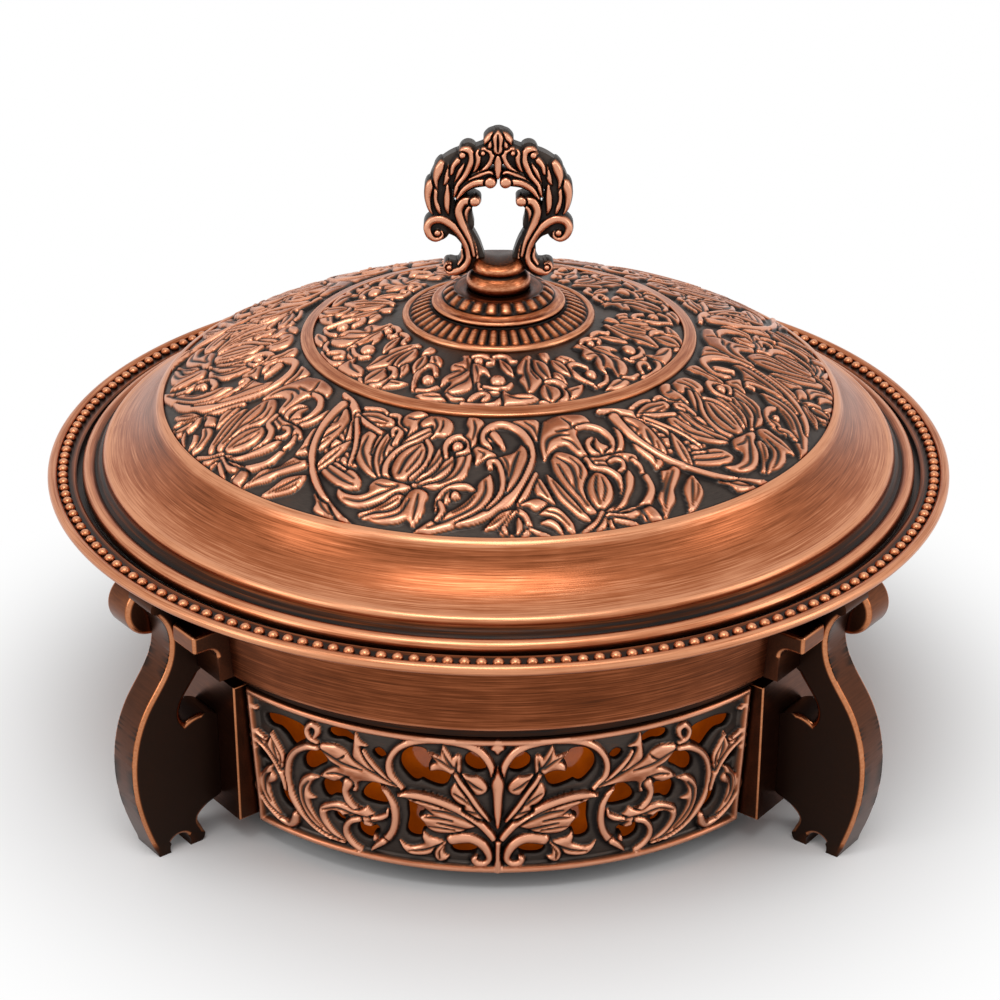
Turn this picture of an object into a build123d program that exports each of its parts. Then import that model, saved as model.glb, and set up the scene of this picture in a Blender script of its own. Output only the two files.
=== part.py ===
from build123d import *
import math
import os

# Covered serving dish on an ornate stand, in millimetres, +Z up.
# The origin is on the floor, under the middle of the dish, and the front faces -Y.

# Dish rim and flange
rim_radius = 200.0          # outer edge of the rolled rim
rim_roll = 2.2              # radius of the roll round the rim
flange_width = 12.7         # from the rim's edge in to the step of the lid seat
flange_step = 3.0           # depth of that step
seat_width = 31.3           # flat seat from that step in to the dish's mouth
dish_wall = 1.6             # sheet of the outer dish
bead_inset = 6.7            # from the rim's edge to the middle of the row of beads
bead_radius = 2.1           # radius of the half-round bead row
bead_flats = 6

# Outer dish, which holds the hot water
dish_depth = 68.8           # from the lid seat down to the underside of its floor
dish_side_height = 46.0     # from the floor to where the side stands upright
dish_side_inset = 23.6      # how far the side leans in over that height, down to the heel
dish_heel_height = 14.0     # height of the steeper heel
dish_heel_inset = 8.0

# Food pan
pan_wall = 1.2
pan_play = 6.0              # between the pan's inside and the dish's mouth
pan_side_height = 40.0      # from the floor to where the side stands upright
pan_side_inset = 13.0       # how far the side leans in, down to the heel
pan_heel_height = 16.0
pan_heel_inset = 26.0       # how far the round heel reaches in to the flat floor
pan_heel_belly = (8.0, 4.6)  # a point of the heel's arc: inset from its top, height above the floor
water_gap = 12.5            # between the dish's floor and the pan
seat_gap = 0.3              # play under each piece that lifts off

# Lid
lid_play = 2.5              # between the lid's edge and the flange's step
lid_wall = 1.5
dome_radius = 315.0         # the two carved bands lie on one ball
dome_edge_inset = 35.8      # from the lid's edge to the outer bead of the carved band
dome_edge_rise = 30.3       # from the lid's lower edge to the dome's edge
cove_drop = 19.4            # height of the smooth hollow below the dome
cove_foot_inset = 12.0
cove_sag = 3.0              # how far the hollow lies behind a straight slope
shoulder_inset = 9.2
shoulder_drop = 2.6         # rounded edge below the hollow
groove_inset = 7.2
groove_height = 5.6         # above the lid's lower edge
groove_width = 1.6
groove_depth = 1.4
edge_bead_inset = 2.4
edge_bead_height = 5.0
edge_skirt = 1.8            # upright edge at the lid's foot
trim_ring_radius = 84.0     # middle of the flat ring between the carved bands
trim_ring_width = 5.4
trim_ring_height = 1.1
trim_ring_bevel = 0.6
carving_height = 1.5        # main forms of the two carved bands above the ball
carving_root = 0.7          # how deep a form starts inside the sheet
carving_margin = 1.5        # clear of the rings beside each band
outer_units = 5             # times that the outer band's drawing repeats
inner_units = 12
locating_ring_depth = 6.0   # reaches into the pan's mouth
locating_ring_wall = 1.5
locating_ring_play = 1.0

# Rosette, neck and wreath on top of the lid
rosette_radius = 42.2
rosette_roll = 1.9          # radius of the roll round the rosette
rosette_sink = 1.25         # the roll's foot lies this far under the dome's height there
gadroon_inset = 2.4         # from the rosette's edge to the fluted ring
gadroon_step = 0.3
gadroon_rise = 3.7
gadroon_edge = 0.3          # the fluted ring's inner edge beyond the cup
cup_radius = 29.0
cup_rim_height = 0.9
cup_step_inset = 4.6
cup_step_rise = 3.5
cup_disc_inset = 5.2
cup_disc_rise = 7.4
neck_foot_radius = 13.1
neck_torus_radius = 13.9
neck_torus_swell = 2.4      # height of the torus's widest point
neck_torus_height = 7.4
neck_groove_radius = 11.9
neck_groove_depth = 0.8
neck_groove_height = 0.8
neck_collar_radius = 12.0
neck_collar_rise = 1.2
neck_collar_top_radius = 10.8
neck_height = 17.0
saddle_radius = 11.0        # hollow in the collar's top
saddle_low = 13.7           # lowest point of that hollow above the neck's foot
wreath_thickness = 13.0
wreath_rise = 73.2          # from the neck's foot to the wreath's top
wreath_fit = 0.1            # solder gap round the collar
stud_radius = 4.0
stud_clearance = 0.3
stud_grip = 8.0             # thread in the neck
stud_end = 2.0              # thread below the nut
washer_radius = 10.0
washer_thickness = 1.5
nut_flats = 13.0
nut_height = 6.5

# Stand: band under the rim
band_height = 44.9
band_wall = 2.0
band_play = 2.4             # between the dish and the inside of the band
band_flare = 3.5            # how much wider the band is at its top
band_lip_width = 11.0       # the foot is turned in by this much
neck_ring_inset = 0.5       # behind the gallery's top edge
neck_ring_wall = 5.0
gallery_gap = 7.0           # dark recess between the gallery and the band

# Stand: pierced gallery
gallery_foot = 9.8
gallery_height = 69.2
gallery_recess = 7.0        # its top edge stands in from the band by this much
gallery_taper = 4.5         # its foot stands in from its top by this much
gallery_wall = 3.0
ledge_width = 5.0           # inner ledge that carries the shelf
ledge_thickness = 2.0
scroll_ring_radius = 22.0   # large scroll in the fretwork
scroll_opening = 9.0        # width of the scroll's pierced ring
scroll_bar = 4.0            # bars of the scroll
scroll_pitch = 46.0         # along the arc, from scroll to scroll
spandrel_radius = 6.5       # small piercing between two scrolls
spandrel_height = 23.0      # above and below the scrolls' middle
panel_play = 0.1

# Stand: glass liner, shelf and burner
liner_gap = 6.0             # behind the gallery's foot
liner_wall = 2.5
liner_drop = 3.0            # its top edge lies this far under the gallery's
shelf_thickness = 2.0
shelf_play = 0.2
vent_radius = 7.0
vent_circle = 95.0
vent_count = 12
seat_ring_wall = 3.0
seat_ring_height = 6.0
burner_radius = 34.0
burner_height = 26.0
burner_wall = 1.2
burner_play = 0.4
burner_top_thickness = 1.6
burner_mouth_radius = 16.0
wick_height = 18.0
wick_play = 0.3
snuffer_overlap = 3.0       # beyond the burner's mouth
snuffer_thickness = 1.5
snuffer_gap = 0.3
snuffer_pivot_offset = 26.0
pivot_radius = 2.0
pivot_fit = 0.05
pivot_head_radius = 3.6
pivot_head_height = 1.2
snuffer_tab_length = 18.0
snuffer_tab_width = 8.0
snuffer_arm_width = 11.0

# Stand: legs, mounting blocks, brackets and scroll rolls
leg_azimuth = 52.0          # from the front towards each side
leg_thickness = 17.6
leg_head_drop = 7.9         # from the band's top down to the leg's top
block_recess = 0.5          # the block's inner face stands proud of the gallery's inside
block_depth = 11.8
block_half_width = 23.0
block_foot_rise = 3.2       # above the gallery's foot
bracket_half_width = 26.0
bracket_foot_rise = 0.5     # above the band's foot
bracket_bar_rise = 16.5
bracket_top_rise = 25.0
bracket_bar_reach = 12.8    # top bar beyond the leg's back
bracket_stem_reach = 5.0    # stem beyond the band's foot
bracket_cove = 5.0
roll_radius = 12.0
roll_reach = 11.3           # middle of the roll beyond the leg's back
roll_rise = 23.0            # and above the band's foot
part_gap = 0.1              # between pieces that are screwed face to face
screw_radius = 2.0
screw_clearance = 0.2
screw_head_radius = 3.8
screw_head_height = 2.4
screw_bite = 9.0            # length of a screw in the leg
band_screw_rise = 11.0      # above the band's foot
block_screw_heights = (32.0, 50.0)

# Heights that follow from the ones above
gallery_top = gallery_foot + gallery_height
band_foot = gallery_top + gallery_gap
band_top = band_foot + band_height
seat_level = band_top + seat_gap + dish_wall
flange_top = seat_level + flange_step
dish_floor = seat_level - dish_depth
pan_rim_foot = seat_level + seat_gap
pan_rim_top = pan_rim_foot + pan_wall
pan_floor = dish_floor + dish_wall + water_gap
lid_foot = pan_rim_top + seat_gap
shelf_foot = gallery_foot + ledge_thickness
shelf_top = shelf_foot + shelf_thickness
leg_top = band_top - leg_head_drop
bracket_foot = band_foot + bracket_foot_rise
bracket_bar_foot = band_foot + bracket_bar_rise
bracket_top = band_foot + bracket_top_rise
roll_centre_height = band_foot + roll_rise
band_screw_height = band_foot + band_screw_rise

# Radii that follow from the ones above
flange_inner_radius = rim_radius - flange_width
dish_mouth_radius = flange_inner_radius - seat_width
pan_mouth_radius = dish_mouth_radius - pan_play
lid_radius = flange_inner_radius - lid_play
dome_edge_radius = lid_radius - dome_edge_inset
band_foot_radius = dish_mouth_radius + dish_wall + band_play + band_wall
band_top_radius = band_foot_radius + band_flare
gallery_top_radius = band_foot_radius - gallery_recess
gallery_foot_radius = gallery_top_radius - gallery_taper
liner_radius = gallery_foot_radius - gallery_wall - liner_gap
block_inner_radius = gallery_foot_radius - gallery_wall - block_recess
block_face = block_inner_radius + block_depth
leg_back = band_top_radius + part_gap
bracket_reach = leg_back + bracket_bar_reach
roll_centre_reach = leg_back + roll_reach
cup_step_radius = cup_radius - cup_step_inset
snuffer_radius = burner_mouth_radius + snuffer_overlap

dome_edge_height = lid_foot + dome_edge_rise
dome_top = dome_edge_height + dome_radius - math.sqrt(dome_radius**2 - dome_edge_radius**2)


def dome_height_at(radius):
    """Height of the lid's outer face above the floor, on the ball of the dome."""
    return dome_top - dome_radius + math.sqrt(dome_radius**2 - radius**2)


rosette_foot = dome_height_at(rosette_radius) - rosette_sink
rosette_top = rosette_foot + 2 * rosette_roll
cup_foot = rosette_top + gadroon_rise
neck_foot = cup_foot + cup_disc_rise
wreath_top = neck_foot + wreath_rise
washer_sag = dome_top - dome_height_at(washer_radius) + part_gap
nut_top = dome_top - lid_wall - washer_sag - washer_thickness - part_gap


def turned(*edges):
    """Solid of revolution about Z from a closed outline of (radius, height) edges."""
    outline = Curve() + list(edges)
    return revolve(Plane.XZ * make_face(outline.edges()), axis=Axis.Z)


def turned_polygon(*points):
    return turned(Polyline(*points, close=True))


def ring(inner, outer, foot, top):
    return turned_polygon((inner, foot), (outer, foot), (outer, top), (inner, top))


def disc(radius, foot, top):
    return Pos(0, 0, (foot + top) / 2) * Cylinder(radius, top - foot)


def save(shape, node):
    shape.label = node
    export_step(shape, f"parts/{node}.step")


# Outer dish with its flange, lid seat and rolled rim

def dish_form(inset):
    """Closed bowl shape of the dish, taken in by the sheet's thickness."""
    side_top = seat_level - dish_wall + inset
    floor = dish_floor + inset
    side = dish_mouth_radius + dish_wall - inset
    heel = side - dish_side_inset
    return turned_polygon(
        (0, floor), (heel - dish_heel_inset, floor), (heel, dish_floor + dish_heel_height),
        (side, dish_floor + dish_side_height), (side, side_top), (0, side_top),
    )


def dish_body():
    bowl = dish_form(0) - dish_form(dish_wall)
    seat = ring(dish_mouth_radius, flange_inner_radius + dish_wall, seat_level - dish_wall, seat_level)
    step = ring(flange_inner_radius, flange_inner_radius + dish_wall, seat_level - dish_wall, flange_top)
    roll_circle = rim_radius - rim_roll
    flange = ring(flange_inner_radius, roll_circle, flange_top - dish_wall, flange_top)
    roll = revolve(Plane.XZ * Pos(roll_circle, flange_top) * Circle(rim_roll), axis=Axis.Z)
    return bowl + seat + step + flange + roll


def bead_ring():
    """Row of beads along the flange, as one half-round band with a few flats."""
    bead_circle = rim_radius - bead_inset
    points = []
    for step in range(bead_flats + 1):
        turn = math.pi * step / bead_flats
        points.append((bead_circle - bead_radius * math.cos(turn), flange_top + bead_radius * math.sin(turn)))
    return turned_polygon(*points)


# Food pan

def pan_form(inset):
    """Closed bowl shape of the pan, taken in by the sheet's thickness."""
    mouth = pan_mouth_radius + pan_wall - inset
    floor = pan_floor + inset
    heel_radius = mouth - pan_side_inset
    heel = (heel_radius, floor + pan_heel_height)
    belly_inset, belly_height = pan_heel_belly
    belly = (heel_radius - belly_inset, floor + belly_height)
    floor_edge = (heel_radius - pan_heel_inset, floor)
    return turned(
        Line((0, floor), floor_edge),
        ThreePointArc(floor_edge, belly, heel),
        Polyline(heel, (mouth, pan_floor + pan_side_height), (mouth, pan_rim_top), (0, pan_rim_top), (0, floor)),
    )


def food_pan():
    rim = ring(pan_mouth_radius, lid_radius, pan_rim_foot, pan_rim_top)
    return pan_form(0) + rim - pan_form(pan_wall)


# Lid shell and its rings

def lid_form(inset):
    """Closed lid shape, taken in by the sheet's thickness."""
    pin_radius = dome_edge_radius / 2
    apex = (0, dome_top - inset)
    pin = (pin_radius, dome_height_at(pin_radius) - inset)
    edge = (dome_edge_radius - inset * 0.5, dome_edge_height - inset)
    cove_foot = (lid_radius - cove_foot_inset - inset * 0.8, dome_edge_height - cove_drop - inset)
    slope = math.atan2(edge[1] - cove_foot[1], cove_foot[0] - edge[0])
    cove = ((edge[0] + cove_foot[0]) / 2 - cove_sag * math.sin(slope),
            (edge[1] + cove_foot[1]) / 2 - cove_sag * math.cos(slope))
    shoulder = (lid_radius - shoulder_inset - inset, cove_foot[1] - shoulder_drop)
    groove_radius = lid_radius - groove_inset
    groove = (groove_radius - inset, lid_foot + groove_height - inset * 0.6)
    bead_start = (groove_radius + groove_width - inset * 0.7, lid_foot + groove_height - groove_depth - inset)
    bead_top = (lid_radius - edge_bead_inset - inset * 0.6, lid_foot + edge_bead_height - inset)
    bead_end = (lid_radius - inset, lid_foot + edge_skirt - inset * 0.2)
    return turned(
        ThreePointArc(apex, pin, edge),
        ThreePointArc(edge, cove, cove_foot),
        Polyline(cove_foot, shoulder, groove, bead_start),
        ThreePointArc(bead_start, bead_top, bead_end),
        Polyline(bead_end, (lid_radius - inset, lid_foot), (0, lid_foot), apex),
    )


# Main leaves, petals and scrolls of one unit of each carved band. Each is a pointed form between two arcs,
# given by three marks on its middle line, as (degrees from the unit's middle, share of the band's width
# from its inner edge), and its half width as such a share.
outer_forms = [
    ((-12.1, 1.0), (0.5, 0.79), (7.5, 0.44), 0.047), ((7.6, 0.42), (5.1, 0.12), (-3.5, 0.19), 0.04),
    ((-22.7, 1.0), (-37.5, 0.58), (-40.2, 0.15), 0.029), ((-37.8, 0.45), (-30.8, 0.61), (-25.8, 0.74), 0.108),
    ((-28.3, 0.86), (-21.8, 0.73), (-16.2, 0.69), 0.064), ((-21.8, 0.96), (-19.3, 0.85), (-16.2, 0.74), 0.044),
    ((-18.2, 0.95), (-14.1, 0.87), (-11.1, 0.7), 0.044), ((-12.3, 0.97), (-6.1, 0.73), (-1.6, 0.54), 0.071),
    ((6.7, 0.47), (2.6, 0.51), (0.1, 0.73), 0.061), ((-4.2, 0.36), (-5.8, 0.21), (-3.3, 0.02), 0.047),
    ((-10.5, 0.22), (-16.9, 0.07), (-21.7, 0.07), 0.054), ((10.4, 0.13), (18.0, 0.12), (23.6, 0.11), 0.091),
    ((9.8, 0.37), (15.7, 0.27), (17.9, 0.39), 0.054), ((20.6, 0.17), (26.1, 0.26), (22.2, 0.41), 0.032),
    ((29.8, 0.14), (33.5, 0.37), (31.6, 0.61), 0.101), ((35.7, 0.67), (30.0, 0.83), (27.4, 0.98), 0.061),
    ((-23.0, 0.63), (-30.1, 0.44), (-30.0, 0.25), 0.044), ((-21.1, 0.58), (-26.3, 0.36), (-27.7, 0.22), 0.044),
    ((-14.0, 0.63), (-7.1, 0.45), (-4.5, 0.33), 0.051), ((-16.2, 0.6), (-12.1, 0.37), (-8.6, 0.24), 0.04),
    ((-19.0, 0.51), (-18.9, 0.26), (-13.8, 0.12), 0.044), ((-17.7, 0.62), (-16.2, 0.43), (-15.1, 0.31), 0.037),
    ((17.9, 0.49), (24.3, 0.5), (27.2, 0.61), 0.04), ((15.1, 0.87), (11.9, 0.61), (10.5, 0.42), 0.057),
    ((20.7, 0.88), (26.8, 0.74), (27.7, 0.65), 0.032), ((19.3, 0.84), (23.7, 0.67), (24.3, 0.58), 0.032),
    ((17.2, 0.84), (17.2, 0.65), (19.4, 0.55), 0.044), ((7.5, 0.83), (10.2, 0.92), (11.9, 0.99), 0.051),
]
inner_forms = [
    ((1.8, 0.08), (-1.0, 0.42), (-9.0, 0.82), 0.122), ((0.0, 0.27), (-8.2, 0.34), (-12.7, 0.49), 0.055),
    ((1.6, 0.3), (6.8, 0.48), (7.3, 0.63), 0.061), ((3.4, 0.91), (10.3, 0.81), (15.2, 0.96), 0.061),
    ((8.1, 0.66), (12.0, 0.59), (14.5, 0.72), 0.05), ((4.8, 0.1), (12.4, 0.08), (16.7, 0.24), 0.033),
]


def pointed_form(marks, inner, outer):
    """Outline of one form, seen from above, from its marks."""
    places = []
    for turn, share in marks[:3]:
        radius = inner + (outer - inner) * share
        places.append((radius * math.sin(math.radians(turn)), -radius * math.cos(math.radians(turn))))
    start, middle, end = places
    half = marks[3] * (outer - inner) / math.dist(start, end)
    across = ((start[1] - end[1]) * half, (end[0] - start[0]) * half)
    first = (middle[0] + across[0], middle[1] + across[1])
    second = (middle[0] - across[0], middle[1] - across[1])
    return make_face((Curve() + [ThreePointArc(start, first, end), ThreePointArc(end, second, start)]).edges())


def carved_band(forms, units, inner, outer):
    """Raised forms of one band, as pieces of a thin ball shell that start inside the sheet."""
    drawing = Sketch()
    for marks in forms:
        drawing += pointed_form(marks, inner, outer)
    whole = Sketch()
    for index in range(units):
        whole += Rot(0, 0, 360 / units * index) * drawing
    whole = whole & (Circle(outer) - Circle(inner))
    foot = dome_edge_height - carving_height
    prism = extrude(Pos(0, 0, foot) * whole, amount=dome_top + carving_height - foot)
    ball = Pos(0, 0, dome_top - dome_radius)
    return (prism & ball * Sphere(dome_radius + carving_height)) - ball * Sphere(dome_radius - carving_root)


def lid_shell():
    bore = disc(stud_radius + stud_clearance, dome_edge_height, dome_top + lid_wall)
    lid = lid_form(0) - lid_form(lid_wall) - bore
    ring_inner = trim_ring_radius - trim_ring_width / 2
    ring_outer = trim_ring_radius + trim_ring_width / 2
    lid += carved_band(outer_forms, outer_units, ring_outer + carving_margin, dome_edge_radius - carving_margin)
    lid += carved_band(inner_forms, inner_units, rosette_radius + carving_margin, ring_inner - carving_margin)
    return lid


def lid_trim_ring():
    inner = trim_ring_radius - trim_ring_width / 2
    outer = trim_ring_radius + trim_ring_width / 2
    inner_z = dome_height_at(inner) + part_gap / 2
    outer_z = dome_height_at(outer) + part_gap / 2
    return turned_polygon(
        (inner, inner_z), (outer, outer_z), (outer - trim_ring_bevel, outer_z + trim_ring_height),
        (inner + trim_ring_bevel, inner_z + trim_ring_height),
    )


def lid_locating_ring():
    """Ring inside the lid that drops into the pan's mouth and centres the lid."""
    outer = pan_mouth_radius - locating_ring_play
    inner = outer - locating_ring_wall
    foot = lid_foot - locating_ring_depth
    tube = ring(inner, outer, foot, dome_edge_height)
    return tube & (lid_form(lid_wall + part_gap) + disc(outer, foot, lid_foot))


# Rosette, neck and handle

def rosette_plate():
    bore = stud_radius + stud_clearance
    roll_circle = rosette_radius - rosette_roll
    roll_height = rosette_foot + rosette_roll
    gadroon_outer = rosette_radius - gadroon_inset
    gadroon_inner = cup_radius + gadroon_edge
    plate = turned_polygon(
        (bore, rosette_foot), (roll_circle, rosette_foot), (roll_circle, roll_height),
        (gadroon_outer, rosette_top + gadroon_step), (gadroon_inner, cup_foot), (bore, cup_foot),
    )
    roll = revolve(Plane.XZ * Pos(roll_circle, roll_height) * Circle(rosette_roll), axis=Axis.Z)
    return plate + roll - lid_form(-part_gap / 2)


def rosette_cup():
    """Stepped cup with a hollow below the step and a swelling above it."""
    bore = stud_radius + stud_clearance
    foot = cup_foot + part_gap / 2
    rim = foot + cup_rim_height
    step = foot + cup_step_rise
    disc_radius = cup_step_radius - cup_disc_inset
    hollow = (cup_radius - cup_step_inset * 0.7, rim + (step - rim) * 0.3)
    swell = (cup_step_radius - cup_disc_inset * 0.3, step + (neck_foot - step) * 0.6)
    return turned(
        Polyline((bore, foot), (cup_radius, foot), (cup_radius, rim)),
        ThreePointArc((cup_radius, rim), hollow, (cup_step_radius, step)),
        ThreePointArc((cup_step_radius, step), swell, (disc_radius, neck_foot)),
        Polyline((disc_radius, neck_foot), (bore, neck_foot), (bore, foot)),
    )


def handle_neck():
    foot = neck_foot + part_gap / 2
    groove_foot = foot + neck_torus_height
    groove_top = groove_foot + neck_groove_height
    neck = turned(
        Line((0, foot), (neck_foot_radius, foot)),
        ThreePointArc((neck_foot_radius, foot), (neck_torus_radius, foot + neck_torus_swell),
                      (neck_groove_radius, groove_foot)),
        Polyline((neck_groove_radius, groove_foot), (neck_groove_radius - neck_groove_depth, groove_top),
                 (neck_collar_radius, groove_top + neck_collar_rise), (neck_collar_top_radius, foot + neck_height),
                 (0, foot + neck_height), (0, foot)),
    )
    across = 4 * neck_torus_radius
    hollow = Pos(0, 0, foot + saddle_low + saddle_radius) * Rot(90, 0, 0) * Cylinder(saddle_radius, across)
    thread = disc(stud_radius, foot - stud_clearance, foot + stud_grip)
    return neck - hollow - thread


def wreath_half():
    """Left half of the wreath's outline, as (across, height below the wreath's top)."""
    body = Polygon(
        (0.5, -4), (-9, -8), (-22, -15), (-30, -29), (-30, -40), (-24, -44), (-19, -52), (-19.5, -61),
        (-14, -65), (-9, -56), (-11.4, -43), (-10.6, -35), (-12.5, -28), (-6, -26.6), (0.5, -24),
        align=None,
    )
    lobes = [
        (0.0, -7.4, 7.4), (-13.2, -10.2, 4.9), (-24.2, -18.6, 4.6), (-28.2, -29.5, 4.3),
        (-27.4, -46.3, 5.6), (-19.8, -63.2, 4.4), (-10.6, -32.6, 2.5), (-3.4, -23.8, 3.4),
    ]
    for across, height, radius in lobes:
        body += Pos(across, height) * Circle(radius)
    return body


def handle_wreath():
    half = wreath_half()
    outline = half + mirror(half, about=Plane.YZ)
    plate = extrude(Plane.XZ * Pos(0, wreath_top) * outline, amount=wreath_thickness / 2, both=True)
    collar_foot = neck_foot + neck_torus_height
    swell = neck_torus_radius + 4 * wreath_fit
    collar = turned_polygon(
        (0, neck_foot), (swell, neck_foot), (swell, collar_foot),
        (neck_collar_radius + wreath_fit, collar_foot + neck_groove_height),
        (neck_collar_radius + wreath_fit, collar_foot + neck_groove_height + neck_collar_rise + wreath_fit),
        (neck_collar_top_radius + wreath_fit, neck_foot + neck_height + wreath_fit),
        (0, neck_foot + neck_height + wreath_fit),
    )
    return plate - collar


def handle_stud():
    top = neck_foot + part_gap / 2 + stud_grip
    return disc(stud_radius, nut_top - nut_height - stud_end, top)


def stud_washer():
    foot = nut_top + part_gap
    return ring(stud_radius + stud_clearance, washer_radius, foot, foot + washer_thickness)


def stud_nut():
    hexagon = RegularPolygon(nut_flats / 2, 6, major_radius=False)
    nut = Pos(0, 0, nut_top - nut_height) * extrude(hexagon, amount=nut_height)
    return nut - disc(stud_radius, nut_top - 2 * nut_height, nut_top + nut_height)


# Band and recessed ring under the rim

def band_collar():
    """Slightly flared band, with its foot turned in and its top carrying the flange."""
    outer = turned_polygon((0, band_foot), (band_foot_radius, band_foot), (band_top_radius, band_top), (0, band_top))
    floor = band_foot + band_wall
    hollow = turned_polygon(
        (0, floor), (band_foot_radius - band_wall, floor), (band_top_radius - band_wall, band_top), (0, band_top),
    )
    hole = disc(band_foot_radius - band_lip_width, band_foot - band_wall, floor + band_wall)
    return outer - hollow - hole - leg_screw_holes()


def neck_ring():
    outer = gallery_top_radius - neck_ring_inset
    return ring(outer - neck_ring_wall, outer, gallery_top + part_gap / 2, band_foot - part_gap / 2)


# Pierced gallery

def gallery_radius_at(height):
    share = (height - gallery_foot) / (gallery_top - gallery_foot)
    return gallery_foot_radius + (gallery_top_radius - gallery_foot_radius) * share


def gallery_shell():
    inner_foot = gallery_foot_radius - gallery_wall
    ledge = ring(inner_foot - ledge_width, inner_foot + gallery_wall / 2, gallery_foot, shelf_foot)
    wall = turned_polygon(
        (inner_foot, gallery_foot), (gallery_foot_radius, gallery_foot),
        (gallery_top_radius, gallery_top), (gallery_top_radius - gallery_wall, gallery_top),
    )
    return wall + ledge


def fretwork(arc_length):
    """Piercings of one panel: scroll rings with an eye, and small ones between."""
    middle = (gallery_foot + gallery_top) / 2
    mean_radius = gallery_radius_at(middle)
    depth = 4 * gallery_wall
    eye_radius = scroll_ring_radius - scroll_opening - scroll_bar
    open_ring = Circle(scroll_ring_radius) - Circle(scroll_ring_radius - scroll_opening)
    spokes = Rectangle(2 * scroll_ring_radius, scroll_bar) + Rectangle(scroll_bar, 2 * scroll_ring_radius)
    scroll = open_ring - Rot(0, 0, 45) * spokes + Circle(eye_radius)
    count = int((arc_length - 2 * scroll_bar) // scroll_pitch)
    holes = []
    for index in range(count):
        along = (index - (count - 1) / 2) * scroll_pitch
        holes.append((along, 0.0, scroll))
    for index in range(count + 1):
        along = (index - count / 2) * scroll_pitch
        if abs(along) + spandrel_radius + scroll_bar / 2 < arc_length / 2:
            for side in (-1, 1):
                holes.append((along, side * spandrel_height, Circle(spandrel_radius)))
    cutters = []
    for along, rise, shape in holes:
        cutter = extrude(Plane.XZ.offset(mean_radius - depth) * Pos(0, middle + rise) * shape, amount=2 * depth)
        cutters.append(Rot(0, 0, math.degrees(along / mean_radius)) * cutter)
    return cutters


def gallery_panel(half_angle, turn):
    """One panel between two mounting blocks, with its middle at the front before the turn."""
    reach = 2 * rim_radius
    side = reach * math.tan(math.radians(half_angle))
    height = 2 * gallery_top
    wedge = make_face(Polyline((0, 0), (-side, -reach), (side, -reach), close=True).edges())
    panel = gallery_shell() & extrude(wedge, amount=height)
    arc_length = 2 * math.radians(half_angle) * gallery_radius_at((gallery_foot + gallery_top) / 2)
    for cutter in fretwork(arc_length):
        panel -= cutter
    return Rot(0, 0, turn) * panel


# Liner and shelf

def glass_liner():
    return ring(liner_radius - liner_wall, liner_radius, shelf_top + part_gap / 2, gallery_top - liner_drop)


def burner_shelf():
    edge = gallery_foot_radius - gallery_wall - shelf_play
    shelf = disc(edge, shelf_foot + part_gap / 2, shelf_top)
    for index in range(vent_count):
        angle = 360 / vent_count * index
        shelf -= Rot(0, 0, angle) * Pos(vent_circle, 0, shelf_foot) * Cylinder(vent_radius, 6 * shelf_thickness)
    for corner in corners:
        notch = Box(2 * ledge_width, 2 * block_half_width + 2 * ledge_width, 4 * shelf_thickness)
        shelf -= at_corner(Pos(block_inner_radius, 0, shelf_top) * notch, corner)
    return shelf


def seat_ring():
    inner = burner_radius + burner_play
    return ring(inner, inner + seat_ring_wall, shelf_top + part_gap / 2, shelf_top + seat_ring_height)


# Burner with its swivelling snuffer

burner_foot = shelf_top + seat_gap
burner_rim = burner_foot + burner_height
burner_top = burner_rim + burner_top_thickness


def burner_cup():
    outer = disc(burner_radius, burner_foot, burner_rim)
    return outer - disc(burner_radius - burner_wall, burner_foot + burner_wall, burner_rim)


def burner_top_plate():
    plate = disc(burner_radius, burner_rim + part_gap / 2, burner_top)
    mouth = disc(burner_mouth_radius, burner_rim, burner_top)
    pivot = Pos(snuffer_pivot_offset, 0, burner_top) * Cylinder(pivot_radius, 4 * burner_top_thickness)
    return plate - mouth - pivot


def wick_pad():
    foot = burner_foot + burner_wall + part_gap / 2
    return disc(burner_radius - burner_wall - wick_play, foot, foot + wick_height)


def snuffer_pivot():
    foot = burner_rim + part_gap / 2
    head_foot = burner_top + 2 * snuffer_gap + snuffer_thickness
    shank = disc(pivot_radius, foot, head_foot)
    head = disc(pivot_head_radius, head_foot, head_foot + pivot_head_height)
    return Pos(snuffer_pivot_offset, 0, 0) * (shank + head)


def snuffer():
    foot = burner_top + snuffer_gap
    top = foot + snuffer_thickness
    cover = disc(snuffer_radius, foot, top)
    middle = (foot + top) / 2
    arm = Pos(snuffer_pivot_offset / 2, 0, middle) * Box(snuffer_pivot_offset, snuffer_arm_width, snuffer_thickness)
    eye = Pos(snuffer_pivot_offset, 0, 0) * disc(snuffer_arm_width / 2, foot, top)
    tab_start = snuffer_radius - snuffer_tab_width / 2
    tab_size = Box(snuffer_tab_length + snuffer_tab_width / 2, snuffer_tab_width, snuffer_thickness)
    tab = Pos(-tab_start - (snuffer_tab_length + snuffer_tab_width / 2) / 2, 0, middle) * tab_size
    hole = Pos(snuffer_pivot_offset, 0, middle) * Cylinder(pivot_radius + pivot_fit, 4 * snuffer_thickness)
    return cover + arm + eye + tab - hole


# Pieces at the four corners are drawn with +X outwards, +Y to the near side, and then placed

corners = {
    "front_left": (270 - leg_azimuth, False),
    "rear_right": (90 - leg_azimuth, False),
    "front_right": (270 - leg_azimuth, True),
    "rear_left": (90 - leg_azimuth, True),
}


def at_corner(shape, corner):
    angle, mirrored = corners[corner]
    placed = Rot(0, 0, angle) * shape
    return mirror(placed, about=Plane.YZ) if mirrored else placed


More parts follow.
